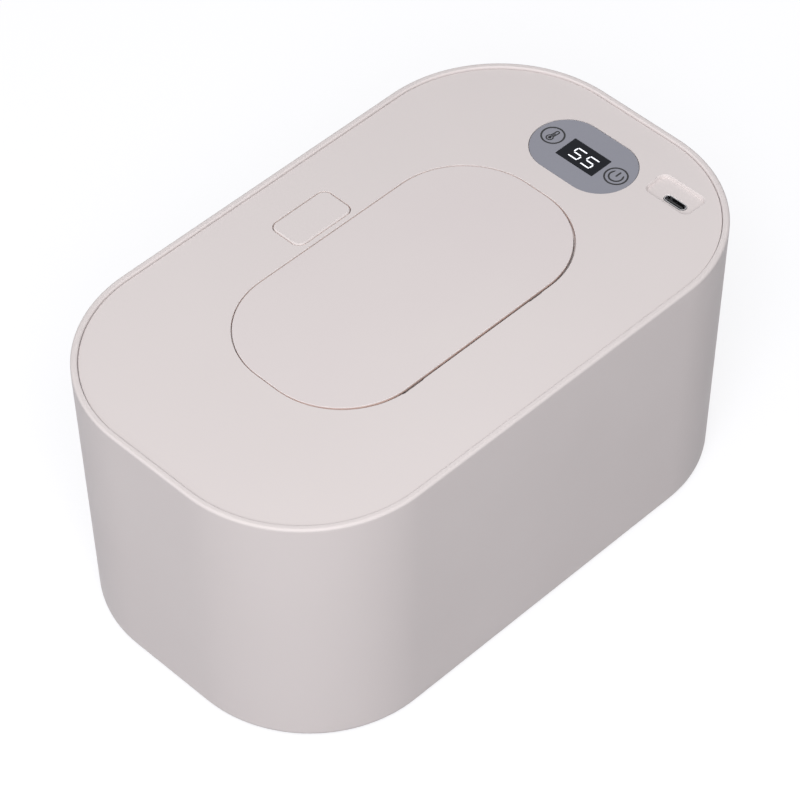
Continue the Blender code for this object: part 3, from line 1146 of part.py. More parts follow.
def carry(name, place, pieces, parent=None):
    """An empty on a joint's axis that carries the pieces of one moving body."""
    axis = bpy.data.objects.new(name, None)
    PARTS.objects.link(axis)
    axis.location = place
    bpy.context.view_layer.update()
    if parent:
        axis.parent = parent
        axis.matrix_parent_inverse = parent.matrix_world.inverted()
        bpy.context.view_layer.update()
    for piece in pieces:
        piece.parent = axis
        piece.matrix_parent_inverse = axis.matrix_world.inverted()
    return axis


outer_case()
base_plate()
feet()
inner_tub()
insulation_wrap()
case_names = {piece.name for piece in PARTS.objects}
lid_pieces = [flip_lid(), lid_gasket()]
button_pieces = [push_button()]
slider_pieces = [latch_slider()]
moving = {piece.name for piece in lid_pieces + button_pieces + slider_pieces}
top_cover()
dispensing_gate()
hinge_pin_and_spring()
latch_springs()
cover_liner()
cover_seal()
heater()
touch_panel()
board_and_port()
cover_pieces = [piece for piece in PARTS.objects if piece.name not in case_names | moving]
cover_lift = carry("cover_lift", (0.0, 0.0, SKIRT_BOTTOM), cover_pieces)
carry("lid_hinge", (0.0, HINGE_Y, HINGE_Z), lid_pieces, cover_lift)
carry("button_guide", (0.0, BUTTON_Y, BUTTON_TOP_Z), button_pieces, cover_lift)
carry("slider_guide", (0.0, OPENING_FRONT, SLIDER_BOTTOM), slider_pieces, cover_lift)
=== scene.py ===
# %% [markdown]
# # A baby wipe warmer, dressed piece by piece
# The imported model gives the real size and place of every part. This lesson builds the parts
# that are seen again with finer curves and soft edges, gives every part a material, and sets
# up the light and the camera. All the sizes below are in millimetres, and the helpers turn
# them into Blender's metres.

# %% Load the fixed frame
import math

import bmesh
import bpy
from mathutils import Matrix, Vector


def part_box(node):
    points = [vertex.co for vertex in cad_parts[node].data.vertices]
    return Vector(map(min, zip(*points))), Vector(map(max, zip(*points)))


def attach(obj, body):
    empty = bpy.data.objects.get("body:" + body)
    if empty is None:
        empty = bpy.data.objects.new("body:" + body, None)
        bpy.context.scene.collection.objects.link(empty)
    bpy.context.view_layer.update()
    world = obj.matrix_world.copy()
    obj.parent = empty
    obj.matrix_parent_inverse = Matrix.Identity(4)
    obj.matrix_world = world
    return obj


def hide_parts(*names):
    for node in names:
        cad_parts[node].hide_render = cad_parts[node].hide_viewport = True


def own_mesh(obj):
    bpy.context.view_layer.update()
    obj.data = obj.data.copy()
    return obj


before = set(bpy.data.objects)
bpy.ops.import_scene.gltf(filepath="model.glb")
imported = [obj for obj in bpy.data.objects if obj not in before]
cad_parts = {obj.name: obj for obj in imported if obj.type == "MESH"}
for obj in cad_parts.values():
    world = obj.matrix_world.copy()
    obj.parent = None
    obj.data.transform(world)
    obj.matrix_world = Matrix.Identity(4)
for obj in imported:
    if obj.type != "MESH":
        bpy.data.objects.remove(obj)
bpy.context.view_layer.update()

MM = 0.001

# %% [markdown]
# ## Camera
# The photograph looks down on one corner from far away through a long lens, so the box hardly
# tapers. A camera's own axes can be written down from its azimuth and elevation: `back` points
# from the object to the camera, `right` lies level, and `up` is square to both. A small roll
# turns the last two.

# %% Place the camera
AZIMUTH, ELEVATION, ROLL = math.radians(-44.62), math.radians(46.66), math.radians(-0.623)
AIM = Vector((-4.99, -1.91, 52.44)) * MM
DISTANCE = 1167.6 * MM
back = Vector((math.sin(AZIMUTH) * math.cos(ELEVATION),
               -math.cos(AZIMUTH) * math.cos(ELEVATION), math.sin(ELEVATION)))
level_right = Vector((math.cos(AZIMUTH), math.sin(AZIMUTH), 0.0))
level_up = back.cross(level_right)
right = level_right * math.cos(ROLL) + level_up * math.sin(ROLL)
up = level_up * math.cos(ROLL) - level_right * math.sin(ROLL)

camera_data = bpy.data.cameras.new("camera")
camera_data.lens = 165.03
camera_data.sensor_width = 36.0
camera_data.clip_start, camera_data.clip_end = 0.05, 20.0
camera = bpy.data.objects.new("camera", camera_data)
bpy.context.scene.collection.objects.link(camera)
axes = Matrix((right, up, back)).transposed()
camera.matrix_world = Matrix.Translation(AIM + back * DISTANCE) @ axes.to_4x4()
bpy.context.scene.camera = camera
print("camera at", [round(v, 3) for v in camera.matrix_world.translation])

# %% [markdown]
# ## Helpers for modelling
# Nearly every part here is a rounded rectangle that steps in or out as it rises: the case, the
# cover, the lid, the button, the panel. By hand you would add a plane, bevel its four corners,
# extrude it, and then inset and move the cap again and again. The helpers do just that, and
# take a list of levels, each an inset from the widest outline and a height.

# %% Start clean and select by place
def clear_selection():
    """Leaves edit mode and deselects all, because an operator acts on whatever is selected."""
    if bpy.context.object is not None and bpy.context.object.mode != "OBJECT":
        bpy.ops.object.mode_set(mode="OBJECT")
    bpy.ops.object.select_all(action="DESELECT")


def make_active(piece):
    clear_selection()
    bpy.context.view_layer.objects.active = piece
    piece.select_set(True)


def pick_faces(test):
    """In edit mode, selects the faces whose middle (in mm) and normal pass the test."""
    bpy.ops.mesh.select_mode(type="FACE")
    bpy.ops.mesh.select_all(action="DESELECT")
    mesh = bpy.context.object.data
    bm = bmesh.from_edit_mesh(mesh)
    chosen = [face for face in bm.faces if test(face.calc_center_median() / MM, face.normal)]
    for face in chosen:
        face.select_set(True)
    bmesh.update_edit_mesh(mesh)
    return len(chosen)


def pick_cap(z, facing):
    """Selects the flat cap at height z that looks up (1) or down (-1)."""
    return pick_faces(lambda middle, normal: abs(middle.z - z) < 0.002
                      and normal.z * facing > 0.99)


# %% Rounded plates that walk through levels
def rounded_plate(name, size, centre, z, steps=24):
    """A flat rounded rectangle: a plane at its size and place, with its corners bevelled."""
    clear_selection()
    bpy.ops.mesh.primitive_plane_add(size=1.0, location=(centre[0] * MM, centre[1] * MM, z * MM))
    piece = bpy.context.object
    piece.name = name
    piece.scale = (size[0] * MM, size[1] * MM, 1.0)
    bpy.ops.object.transform_apply(location=True, rotation=True, scale=True)
    bpy.ops.object.mode_set(mode="EDIT")
    bpy.ops.mesh.select_mode(type="VERT")
    bpy.ops.mesh.select_all(action="SELECT")
    bpy.ops.mesh.bevel(offset=size[2] * MM, segments=steps, profile=0.5, affect="VERTICES")
    bpy.ops.mesh.select_mode(type="FACE")
    bpy.ops.mesh.select_all(action="SELECT")
    return piece


def walk(levels, facing):
    """Takes the cap through the levels: extruded where it keeps its outline, else inset."""
    for (inset_a, z_a), (inset_b, z_b) in zip(levels, levels[1:]):
        if abs(inset_b - inset_a) < 1e-4:
            bpy.ops.mesh.extrude_region_move(
                TRANSFORM_OT_translate={"value": (0.0, 0.0, (z_b - z_a) * MM)})
        else:
            bpy.ops.mesh.inset(thickness=(inset_b - inset_a) * MM,
                               depth=(z_b - z_a) * facing * MM, use_even_offset=True)


def solid(name, size, centre, down, up=(), steps=24):
    """A closed solid from its widest outline. The first step down is a straight band."""
    piece = rounded_plate(name, size, centre, down[0][1], steps)
    bpy.ops.mesh.extrude_region_move(
        TRANSFORM_OT_translate={"value": (0.0, 0.0, (down[1][1] - down[0][1]) * MM)})
    bpy.ops.mesh.select_all(action="SELECT")
    bpy.ops.mesh.normals_make_consistent(inside=False)
    if len(down) > 2:
        pick_cap(down[1][1], -1)
        walk(down[1:], -1)
    if up:
        pick_cap(up[0][1], 1)
        walk(up, 1)
    bpy.ops.object.mode_set(mode="OBJECT")
    return piece


# %% Quarter rounds as levels
def outer_round(inset, z_flat, radius, rising=1, steps=5):
    """From a wall at this inset round to a flat at z_flat, above (1) or below (-1)."""
    turns = [math.pi / 2 * k / steps for k in range(steps + 1)]
    return [(inset + radius * (1 - math.cos(t)),
             z_flat - rising * radius * (1 - math.sin(t))) for t in turns]


def mouth_round(inset, z_flat, radius, steps=5):
    """From a flat at z_flat round and down into a hole whose wall is at this inset."""
    turns = [math.pi / 2 * k / steps for k in range(steps + 1)]
    return [(inset - radius * (1 - math.sin(t)),
             z_flat - radius * (1 - math.cos(t))) for t in turns]


def floor_round(inset, z_flat, radius, rising=-1, steps=5):
    """From a wall at this inset round inwards to a floor at z_flat, as a fillet does."""
    turns = [math.pi / 2 * k / steps for k in range(steps + 1)]
    return [(inset + radius * (1 - math.cos(t)),
             z_flat - rising * radius * (1 - math.sin(t))) for t in turns]


def widened(size, reach):
    """The same rounded rectangle, larger by reach all round."""
    return (size[0] + 2 * reach, size[1] + 2 * reach, size[2] + reach)


# %% Blocks, rods, joins and cuts
def block(name, low, high):
    """A box between two corners."""
    clear_selection()
    middle = [(a + b) / 2 * MM for a, b in zip(low, high)]
    bpy.ops.mesh.primitive_cube_add(size=1.0, location=middle)
    piece = bpy.context.object
    piece.name = name
    piece.scale = [(b - a) * MM for a, b in zip(low, high)]
    bpy.ops.object.transform_apply(location=True, rotation=True, scale=True)
    return piece


def rod(name, radius, start, end, sides=48):
    """A round bar between two points on a line along X, Y or Z."""
    clear_selection()
    a, b = Vector(start) * MM, Vector(end) * MM
    bpy.ops.mesh.primitive_cylinder_add(vertices=sides, radius=radius * MM,
                                        depth=(b - a).length, location=(a + b) / 2)
    piece = bpy.context.object
    piece.name = name
    piece.rotation_euler = (b - a).to_track_quat("Z", "Y").to_euler()
    bpy.ops.object.transform_apply(location=True, rotation=True, scale=True)
    return piece


def combine(piece, others, operation="UNION"):
    """Joins the other solids to the piece, or cuts them out of it, and removes them."""
    for other in others:
        make_active(piece)
        step = piece.modifiers.new("combine", "BOOLEAN")
        step.operation, step.solver, step.object = operation, "EXACT", other
        bpy.ops.object.modifier_apply(modifier=step.name)
        bpy.data.objects.remove(other)
    return piece


def cut(piece, *cutters):
    return combine(piece, cutters, "DIFFERENCE")


def soften(piece, width, segments=3, angle=40):
    """A small bevel on the sharp edges, applied."""
    make_active(piece)
    step = piece.modifiers.new("soften", "BEVEL")
    step.width, step.segments = width * MM, segments
    step.limit_method, step.angle_limit = "ANGLE", math.radians(angle)
    bpy.ops.object.modifier_apply(modifier=step.name)
    return piece


def smooth(piece, angle=32):
    """Smooth shading up to an angle, with the large flat faces deciding the normals."""
    make_active(piece)
    bpy.ops.object.shade_smooth_by_angle(angle=math.radians(angle))
    step = piece.modifiers.new("even_shading", "WEIGHTED_NORMAL")
    step.mode, step.weight, step.keep_sharp = "FACE_AREA", 50, True
    bpy.ops.object.modifier_apply(modifier=step.name)
    clear_selection()
    return piece


def settle(piece, body, slot, *nodes):
    """The finished piece rides on its body and stands for its CAD nodes."""
    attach(piece, body)
    if nodes:
        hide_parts(*nodes)
    size = [round(v / MM, 2) for v in piece.dimensions]
    print(f"{piece.name}: {size} mm, {len(piece.data.polygons)} faces")
    return piece


# %% [markdown]
# ## Case
# The case is one moulded wall that is slightly wider at the top, with a rounded rim that stands
# 0.8 mm above the cover. It could be a lathe-like sweep, but insets of a rounded plate keep the
# corners truly round at each level. The wall is walked down on the outside, the rim is walked
# in on the inside, and two cutters hollow out what is behind it.

# %% Case values
CASE = (216.1, 130.1, 48.7)
HEIGHT, FOOT_DROP, DRAFT = 100.5, 1.0, 2.5


def at(inset, z):
    """A level on the drafted wall: the lower it is, the further in."""
    return inset + DRAFT * (HEIGHT - z) / (HEIGHT - FOOT_DROP), z


def relative(levels, start):
    """Levels counted from another inset, for a plate that starts there."""
    return [(inset - start, z) for inset, z in levels]


# %% Model the case
RIM_ROUND, RIM_WIDTH, RIM_INNER = 0.9, 2.22, 0.5
LEDGE_TOP, LEDGE_LOW, LEDGE_FOOT = 85.7, 83.7, 81.2
outer_wall = [(0.0, 99.6), (0.0, 98.6)] + outer_round(at(0.0, 3.0)[0], FOOT_DROP, 2.0, -1)
rim = (outer_round(0.0, HEIGHT, RIM_ROUND, steps=8) + mouth_round(RIM_WIDTH, HEIGHT, RIM_INNER)
       + [(RIM_WIDTH + 0.03, 99.0), (RIM_WIDTH + 0.1, 98.95), at(RIM_WIDTH + 0.06, LEDGE_TOP)])
case = solid("case_shell", CASE, (0, 0), outer_wall, rim, steps=32)

cavity_top = at(2.3, LEDGE_FOOT)[0]
cavity = solid("cavity", widened(CASE, -cavity_top), (0, 0),
               [(0.0, LEDGE_FOOT), (0.0, LEDGE_FOOT - 1), (at(2.3, 6.3)[0] - cavity_top, 6.3),
                (at(5.8, 6.3)[0] - cavity_top, 6.3), (at(5.8, 6.3)[0] - cavity_top, 3.0)],
               [(0.0, LEDGE_FOOT), (2.5, LEDGE_LOW), (2.5, LEDGE_TOP + 1)], steps=32)
base_seat = at(2.3, 4.3)[0]
base_mouth = solid("base_mouth", widened(CASE, -base_seat), (0, 0),
                   [(0.0, 4.3), (0.0, -1.0)], steps=32)
cut(case, cavity, base_mouth)
smooth(case)
settle(case, "case", "shell_plastic", "outer_case")

# %% [markdown]
# ## Top cover
# The cover drops into the rim with a thin shadow gap. Its plate carries everything: the mouth
# under the lid with a seat and a bowl, the hinge block, the button's collar, the panel's
# pocket and the charging recess. The plain tray is walked first, the parts under it are joined
# on, and then the holes are cut. Where a hole shows, its cutter flares out at the top in a
# quarter round, so the edge comes out soft without a bevel on a cut mesh.

# %% Cover values
TOP, PLATE_LOW, SKIRT_LOW = 99.7, 97.9, 88.3
COVER_INSET, SKIRT_WALL = 2.42, 1.93
OPENING, OPENING_AT = (118.95, 65.65, 28.325), (0.0, 0.3)
SEAT, SEAT_WIDTH, BOWL_FLOOR, BOWL_LOW, BOWL_WALL = 96.1, 8.0, 89.7, 88.1, 1.6
GATE = (62.0, 26.0, 12.6)
HINGE_Y, HINGE_Z, PIN_RADIUS = -36.625, 96.5, 1.0
WELL_REACH, WELL_BEHIND = 7.7, 2.3
PIN_LOW, PIN_HIGH = -37.75, 30.45
WELLS = ((-35.15, -23.95), (19.75, 28.15))
BUTTON, BUTTON_AT = (24.2, 13.4, 3.05), (0.0, 41.925)
PANEL, PANEL_AT = (25.2, 38.9, 12.575), (81.15, 0.3)
WINDOW, WINDOW_AT = (9.5, 15.8, 0.2), (80.8, 0.1)
RECESS, RECESS_AT = (10.2, 18.1, 2.4), (88.5, -32.525)
PORT, PORT_AT = (3.0, 8.6, 1.45), (86.65, -34.275)

# %% The tray and what hangs under it
skirt = [(0.0, 99.5), (0.0, 99.2), (at(0, SKIRT_LOW)[0], SKIRT_LOW),
         (at(SKIRT_WALL, SKIRT_LOW)[0], SKIRT_LOW), (at(SKIRT_WALL, SKIRT_LOW)[0], PLATE_LOW)]
cover = solid("cover_shell", widened(CASE, -COVER_INSET), (0, 0), skirt,
              outer_round(0.0, TOP, 0.2, steps=4), steps=32)
bowl = solid("bowl", widened(OPENING, BOWL_WALL), OPENING_AT,
             [(0.0, 98.4), (0.0, SEAT - BOWL_WALL), (SEAT_WIDTH, SEAT - BOWL_WALL),
              (SEAT_WIDTH, BOWL_LOW)])
collar = solid("collar", widened(BUTTON, 1.5), BUTTON_AT, [(0.0, 98.4), (0.0, 92.9)])
panel_pad = solid("panel_pad", widened(PANEL, 1.15), PANEL_AT, [(0.0, 98.3), (0.0, 96.9)])
port_pad = solid("port_pad", RECESS, RECESS_AT, [(0.0, 98.2), (0.0, 96.9)])

hinge_low = HINGE_Z - WELL_REACH - BOWL_WALL
hinge_block = block("hinge_block", (PIN_LOW, -40.525, hinge_low), (30.75, -32.9, 95.6))
make_active(hinge_block)
bpy.ops.object.mode_set(mode="EDIT")
pick_faces(lambda middle, normal: normal.z > 0.9)
bpy.ops.mesh.extrude_region_move(TRANSFORM_OT_translate={"value": (0, 0, 2.8 * MM)})
pick_faces(lambda middle, normal: normal.y > 0.9 and middle.z < 95)
bpy.ops.mesh.extrude_region_move(TRANSFORM_OT_translate={"value": (0, 7.575 * MM, 0)})
combine(cover, [bowl, collar, panel_pad, port_pad, hinge_block])
print("cover with its underside:", len(cover.data.polygons), "faces")

# %% The mouth, the bowl and the gate's hole
def flared(name, size, centre, z_face, radius, levels, steps=24):
    """A cutter whose mouth flares in a quarter round at z_face, then follows the levels."""
    mouth = [(0.0, z_face + 1.0), (0.0, z_face)] + mouth_round(radius, z_face, radius, 6)[1:]
    return solid(name, widened(size, radius), centre,
                 mouth + [(inset + radius, z) for inset, z in levels], steps=steps)


mouth = flared("mouth", OPENING, OPENING_AT, TOP, 0.15,
               [(0.0, 97.95), (0.45, 97.85), (0.45, SEAT),
                (SEAT_WIDTH - 0.4, SEAT), (SEAT_WIDTH - 0.28, SEAT - 0.05),
                (SEAT_WIDTH - 0.12, SEAT - 0.16), (SEAT_WIDTH, SEAT - 0.4)]
               + [(SEAT_WIDTH + i, z) for i, z in floor_round(0.0, BOWL_FLOOR, 1.5, -1)])
gate_hole = solid("gate_hole", GATE, OPENING_AT, [(0.0, BOWL_FLOOR + 1), (0.0, BOWL_LOW - 1)])
cut(cover, mouth, gate_hole)

# %% Hinge wells, latch slots and the button's hole
wells = [block("well", (low, HINGE_Y - WELL_BEHIND, HINGE_Z - WELL_REACH),
               (high, HINGE_Y + WELL_REACH, TOP - 1.2)) for low, high in WELLS]
reliefs = [solid("relief", (high - low - 1.0, 3.0, 1.4), ((low + high) / 2, -31.3),
                 [(0.0, TOP + 1), (0.0, 97.0)], steps=10) for low, high in WELLS]
pin_bore = rod("pin_bore", PIN_RADIUS, (PIN_LOW - 2, HINGE_Y, HINGE_Z),
               (PIN_HIGH, HINGE_Y, HINGE_Z))
catch_slot = block("catch_slot", (-6.3, 28.725, 91.0), (6.3, 33.125, SEAT + 0.5))
nose_slot = block("nose_slot", (-5.4, 32.6, 91.5), (5.4, 35.6, 95.9))
button_hole = flared("button_hole", widened(BUTTON, 0.28), BUTTON_AT, TOP, 0.15, [(0.0, 90.0)], 12)
cut(cover, *wells, *reliefs, pin_bore, catch_slot, nose_slot, button_hole)

# %% [markdown]
# The panel lies flush in a shallow pocket, and the charging port sits in a dished recess. The
# recess's wall leaves the top in a soft curve, which catches a pale line of light, and drops
# steeply to a crisp foot.

# %% Panel pocket, charging recess and port hole
pocket = solid("pocket", widened(PANEL, 0.22), PANEL_AT, [(0.0, TOP + 1), (0.0, 98.4)])
display_hole = solid("display_hole", WINDOW, WINDOW_AT, [(0.0, 99.0), (0.0, 96.0)], steps=3)
RECESS_DEPTH, RECESS_SOFT, STEEP = 1.2, 0.32, math.radians(74)
dish = [(0.0, TOP + 1)] + [(RECESS_SOFT * math.sin(STEEP * k / 6),
                            TOP - RECESS_SOFT * (1 - math.cos(STEEP * k / 6))) for k in range(7)]
lip_inset, lip_z = dish[-1]
wall_drop = lip_z - TOP + RECESS_DEPTH
dish.append((lip_inset + wall_drop / math.tan(STEEP), TOP - RECESS_DEPTH))
recess = solid("recess", widened(RECESS, RECESS_SOFT), RECESS_AT, dish, steps=12)
port_hole = flared("port_hole", widened(PORT, 0.15), PORT_AT, TOP - RECESS_DEPTH, 0.3,
                   [(0.0, 96.0)], 10)
cut(cover, pocket, display_hole, recess, port_hole)
smooth(cover)
settle(cover, "cover", "shell_plastic", "top_cover")

# %% [markdown]
# ## Flip lid
# The lid is a flush plate with a softly rounded edge. Two goose-neck arms reach down from its
# back edge, pass under the cover's edge and come up to a knuckle on the pin, so that the lid
# swings clear of the cover. An arm is a rectangle spun about the pin, with a leg and a knuckle
# joined on. A hooked catch under the front edge holds it shut.

# %% Lid plate
LID, LID_AT, LID_LOW = (118.25, 64.4, 27.975), (0.0, 0.575), 98.1
lid = solid("lid_shell", LID, LID_AT, [(0.0, 99.5), (0.0, 98.9), (0.25, LID_LOW + 0.1),
                                       (0.35, LID_LOW)],
            outer_round(0.0, TOP, 0.2, steps=5), steps=32)

# %% Goose-neck arms
ARM_IN, ARM_OUT, KNUCKLE = 5.6, 7.4, 1.7


def goose_neck(name, low, high):
    """Spins a rectangle about the pin's axis and joins the leg and the knuckle to it."""
    clear_selection()
    bpy.ops.mesh.primitive_plane_add(
        size=1.0, location=((low + high) / 2 * MM, (HINGE_Y + (ARM_IN + ARM_OUT) / 2) * MM,
                            HINGE_Z * MM))
    arm = bpy.context.object
    arm.name = name
    arm.scale = ((high - low) * MM, (ARM_OUT - ARM_IN) * MM, 1.0)
    bpy.ops.object.transform_apply(location=True, rotation=True, scale=True)
    bpy.ops.object.mode_set(mode="EDIT")
    bpy.ops.mesh.select_all(action="SELECT")
    bpy.ops.mesh.spin(steps=28, angle=math.radians(96), center=(0, HINGE_Y * MM, HINGE_Z * MM),
                      axis=(1, 0, 0))
    bpy.ops.mesh.select_all(action="SELECT")
    bpy.ops.mesh.remove_doubles(threshold=1e-6)
    bpy.ops.mesh.normals_make_consistent(inside=False)
    pick_faces(lambda middle, normal: normal.z > 0.9 and abs(middle.z - HINGE_Z) < 0.01
               and middle.y > HINGE_Y + 5)
    bpy.ops.mesh.extrude_region_move(
        TRANSFORM_OT_translate={"value": (0, 0, (LID_LOW - HINGE_Z + 0.3) * MM)})
    bpy.ops.object.mode_set(mode="OBJECT")
    leg = block(name + "_leg", (low, HINGE_Y - 1.2, HINGE_Z - 6.9),
                (high, HINGE_Y + 0.6, HINGE_Z - 0.6))
    knuckle = rod(name + "_knuckle", KNUCKLE, (low, HINGE_Y, HINGE_Z), (high, HINGE_Y, HINGE_Z))
    combine(arm, [leg, knuckle])
    cut(arm, rod("bore", PIN_RADIUS, (low - 1, HINGE_Y, HINGE_Z), (high + 1, HINGE_Y, HINGE_Z)))
    print(name, [round(v / MM, 2) for v in arm.dimensions])
    return arm


arms = [goose_neck("left_arm", -31.45, -24.25), goose_neck("right_arm", 20.05, 27.85)]

# %% Catch under the front edge
catch = block("catch", (-5.5, 29.525, 92.0), (5.5, 31.025, LID_LOW + 0.3))
catch_lip = block("catch_lip", (-5.5, 31.0, 92.0), (5.5, 32.225, 93.2))
combine(catch, [catch_lip])
combine(lid, arms + [catch])
smooth(lid)
settle(lid, "lid", "shell_plastic", "flip_lid")

# %% [markdown]
# ## Push button
# The button is a small hollow cap with a generous edge round, which stands 0.2 mm above the
# cover. It has two stop tabs at its ends, two ramped legs that draw the latch back, and a notch
# for the latch's nose.

# %% Model the button
BUTTON_TOP, BUTTON_LOW = 99.9, 91.4
button = solid("button_shell", BUTTON, BUTTON_AT,
               [(0.0, 99.3), (0.0, BUTTON_LOW), (1.4, BUTTON_LOW), (1.4, 98.1)],
               outer_round(0.0, BUTTON_TOP, 0.6, steps=8), steps=12)
leg_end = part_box("push_button")[0].z / MM
for side in (-1, 1):
    tab_x = sorted((side * 11.4, side * 13.4))
    leg_x = sorted((side * 5.0, side * 8.5))
    tab = block("tab", (tab_x[0], 38.925, BUTTON_LOW), (tab_x[1], 44.925, BUTTON_LOW + 1.2))
    leg = block("leg", (leg_x[0], 40.525, leg_end), (leg_x[1], 43.525, 98.4))
    make_active(leg)
    bpy.ops.object.mode_set(mode="EDIT")
    bpy.ops.mesh.select_mode(type="EDGE")
    bpy.ops.mesh.select_all(action="DESELECT")
    bm = bmesh.from_edit_mesh(leg.data)
    for edge in bm.edges:
        middle = (edge.verts[0].co + edge.verts[1].co) / 2 / MM
        edge.select_set(middle.z < leg_end + 0.01 and middle.y > 43.4)
    bmesh.update_edit_mesh(leg.data)
    bpy.ops.transform.translate(value=(0, 0, 3.0 * MM))
    bpy.ops.object.mode_set(mode="OBJECT")
    combine(button, [tab, leg])
cut(button, block("notch", (-5.4, 33.0, 90.0), (5.4, 37.1, 97.6)))
smooth(button)
settle(button, "button", "shell_plastic", "push_button")

# %% [markdown]
# ## Touch panel and display
# The panel is a thin grey plate, and the display's dark window is let into it. The digits and
# the line drawings of the two touch marks are printed, so each is a very thin solid on the
# surface. A digit is made of bars, each a thin solid turned and put in place, and the second
# digit is a copy of the first, moved.

# %% Panel and window
FACE = TOP - 0.13
panel = solid("panel_plate", widened(PANEL, 0.02), PANEL_AT, [(0.0, FACE - 0.08), (0.0, 98.7)],
              outer_round(0.0, FACE, 0.08, steps=3), steps=32)
cut(panel, solid("window_hole", widened(WINDOW, 0.08), WINDOW_AT, [(0.0, TOP + 1), (0.0, 98.0)],
                 steps=3))
smooth(panel)
settle(panel, "cover", "panel_plastic", "control_panel")
window = solid("window_plate", WINDOW, WINDOW_AT, [(0.0, FACE - 0.06), (0.0, 98.7)],
               outer_round(0.0, FACE, 0.06, steps=2), steps=3)
smooth(window)
settle(window, "cover", "window_plastic", "display_window")

# %% Printed marks
INK = 0.03


def printed(name, size, centre, turn=0.0, steps=8):
    """A thin solid on the panel, turned about its own middle."""
    mark = solid(name, size, (0, 0), [(0.0, FACE + INK), (0.0, FACE - 0.01)], steps=steps)
    mark.rotation_euler = (0, 0, math.radians(turn))
    mark.location = (centre[0] * MM, centre[1] * MM, 0)
    make_active(mark)
    bpy.ops.object.transform_apply(location=True, rotation=True, scale=True)
    return mark


def copy_mark(mark, name, shift):
    """A copy with its own mesh, moved."""
    twin = mark.copy()
    twin.data = mark.data.copy()
    twin.name = name
    bpy.context.scene.collection.objects.link(twin)
    make_active(twin)
    twin.location = (shift[0] * MM, shift[1] * MM, 0)
    bpy.ops.object.transform_apply(location=True, rotation=True, scale=True)
    return twin


def gather(name, marks):
    """Joins the marks into one object."""
    clear_selection()
    for mark in marks:
        mark.select_set(True)
    bpy.context.view_layer.objects.active = marks[0]
    bpy.ops.object.join()
    marks[0].name = name
    return marks[0]


# %% Digits
BAR = 0.46
LEAN = -4.0
five = [printed("bar_top", (BAR, 3.7, 0.24), (82.85, 2.2), 0),
        printed("bar_middle", (BAR, 2.9, 0.24), (80.6, 2.45), 0),
        printed("bar_bottom", (BAR, 3.7, 0.24), (78.35, 2.65), 0),
        printed("bar_upper", (1.7, BAR, 0.24), (81.72, 4.15), LEAN),
        printed("bar_lower", (1.7, BAR, 0.24), (79.5, 0.78), LEAN)]
digit_left = gather("digits", five)
digit_right = copy_mark(digit_left, "digit_right", (-0.2, -5.5))
digits = gather("digits", [digit_left, digit_right])
settle(digits, "cover", "window_plastic")

# %% Touch marks
LINE = 0.6
SHORT_EDGE = 0.0005  # keeps a corner's radius just under half the side, as a bevel needs


def ring(name, radius, centre, steps=24):
    """A printed circle line: a disc with a smaller disc cut out."""
    outer = 2 * radius + LINE
    mark = printed(name, (outer, outer, outer / 2 - SHORT_EDGE), centre, steps=steps)
    inner = 2 * radius - LINE
    hole = solid("hole", (inner, inner, inner / 2 - SHORT_EDGE), centre,
                 [(0.0, FACE + 1), (0.0, FACE - 1)], steps=steps)
    return cut(mark, hole)


HEAT_AT, POWER_AT, RING_RADIUS = (81.45, 14.15), (81.5, -13.4), 3.8
BULB_AT, STEM_TURN = (80.05, 14.27), -6.0
heat_ring = ring("heat_ring", RING_RADIUS, HEAT_AT)
power_ring = ring("power_ring", RING_RADIUS, POWER_AT)
power_inner = ring("power_inner", 2.35, POWER_AT)
gap = block("gap", (POWER_AT[0], POWER_AT[1] - 1.75, TOP - 1),
            (POWER_AT[0] + 4, POWER_AT[1] + 1.75, TOP + 1))
cut(power_inner, gap)
power_bar = printed("power_bar", (2.6, LINE, 0.13), (POWER_AT[0] + 1.15, POWER_AT[1] - 0.05))


def thermometer(name, shrink):
    """Bulb and stem as one outline, shrunk all round for the inside."""
    bulb = 2.7 - 2 * shrink
    outline = printed(name, (bulb, bulb, bulb / 2 - SHORT_EDGE), BULB_AT, steps=12)
    stem = printed(name + "_stem", (4.4 - 2 * shrink, 1.55 - 2 * shrink, 0.77 - shrink),
                   (82.05, 14.06), STEM_TURN)
    return combine(outline, [stem])


heat_outline = thermometer("heat_outline", 0.0)
inside = thermometer("heat_inside", 0.46)
make_active(inside)
inside.scale = (1, 1, 3)
inside.location = (0, 0, -2 * FACE * MM)
bpy.ops.object.transform_apply(location=True, rotation=True, scale=True)
cut(heat_outline, inside)
heat_drop = printed("heat_drop", (1.15, 1.15, 0.574), BULB_AT, steps=8)
heat_line = printed("heat_line", (2.8, 0.4, 0.19), (81.3, 14.14), STEM_TURN)
marks = gather("touch_marks", [heat_ring, power_ring, power_inner, power_bar, heat_outline,
                               heat_drop, heat_line])
settle(marks, "cover", "panel_plastic")

# %% [markdown]
# ## Charging port
# The port is a drawn steel shell, open at the top, with a thin black tongue inside. The shell is
# walked from a rounded plate: down the outside, and down again on the inside. The tongue is a
# box with softened edges.

# %% Port shell and tongue
port_low, port_high = (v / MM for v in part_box("usb_port"))
port = solid("port_shell", PORT, PORT_AT, [(0.0, port_high.z - 0.08), (0.0, port_low.z)],
             outer_round(0.0, port_high.z, 0.08, steps=3)
             + mouth_round(0.3, port_high.z, 0.1, 3) + [(0.3, port_low.z + 0.8)], steps=10)
smooth(port)
settle(port, "cover", "steel", "usb_port")
tongue_low, tongue_high = (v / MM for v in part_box("usb_tongue"))
tongue = block("port_tongue", tongue_low, tongue_high)
soften(tongue, 0.15, 3)
smooth(tongue)
settle(tongue, "cover", "black_plastic", "usb_tongue")

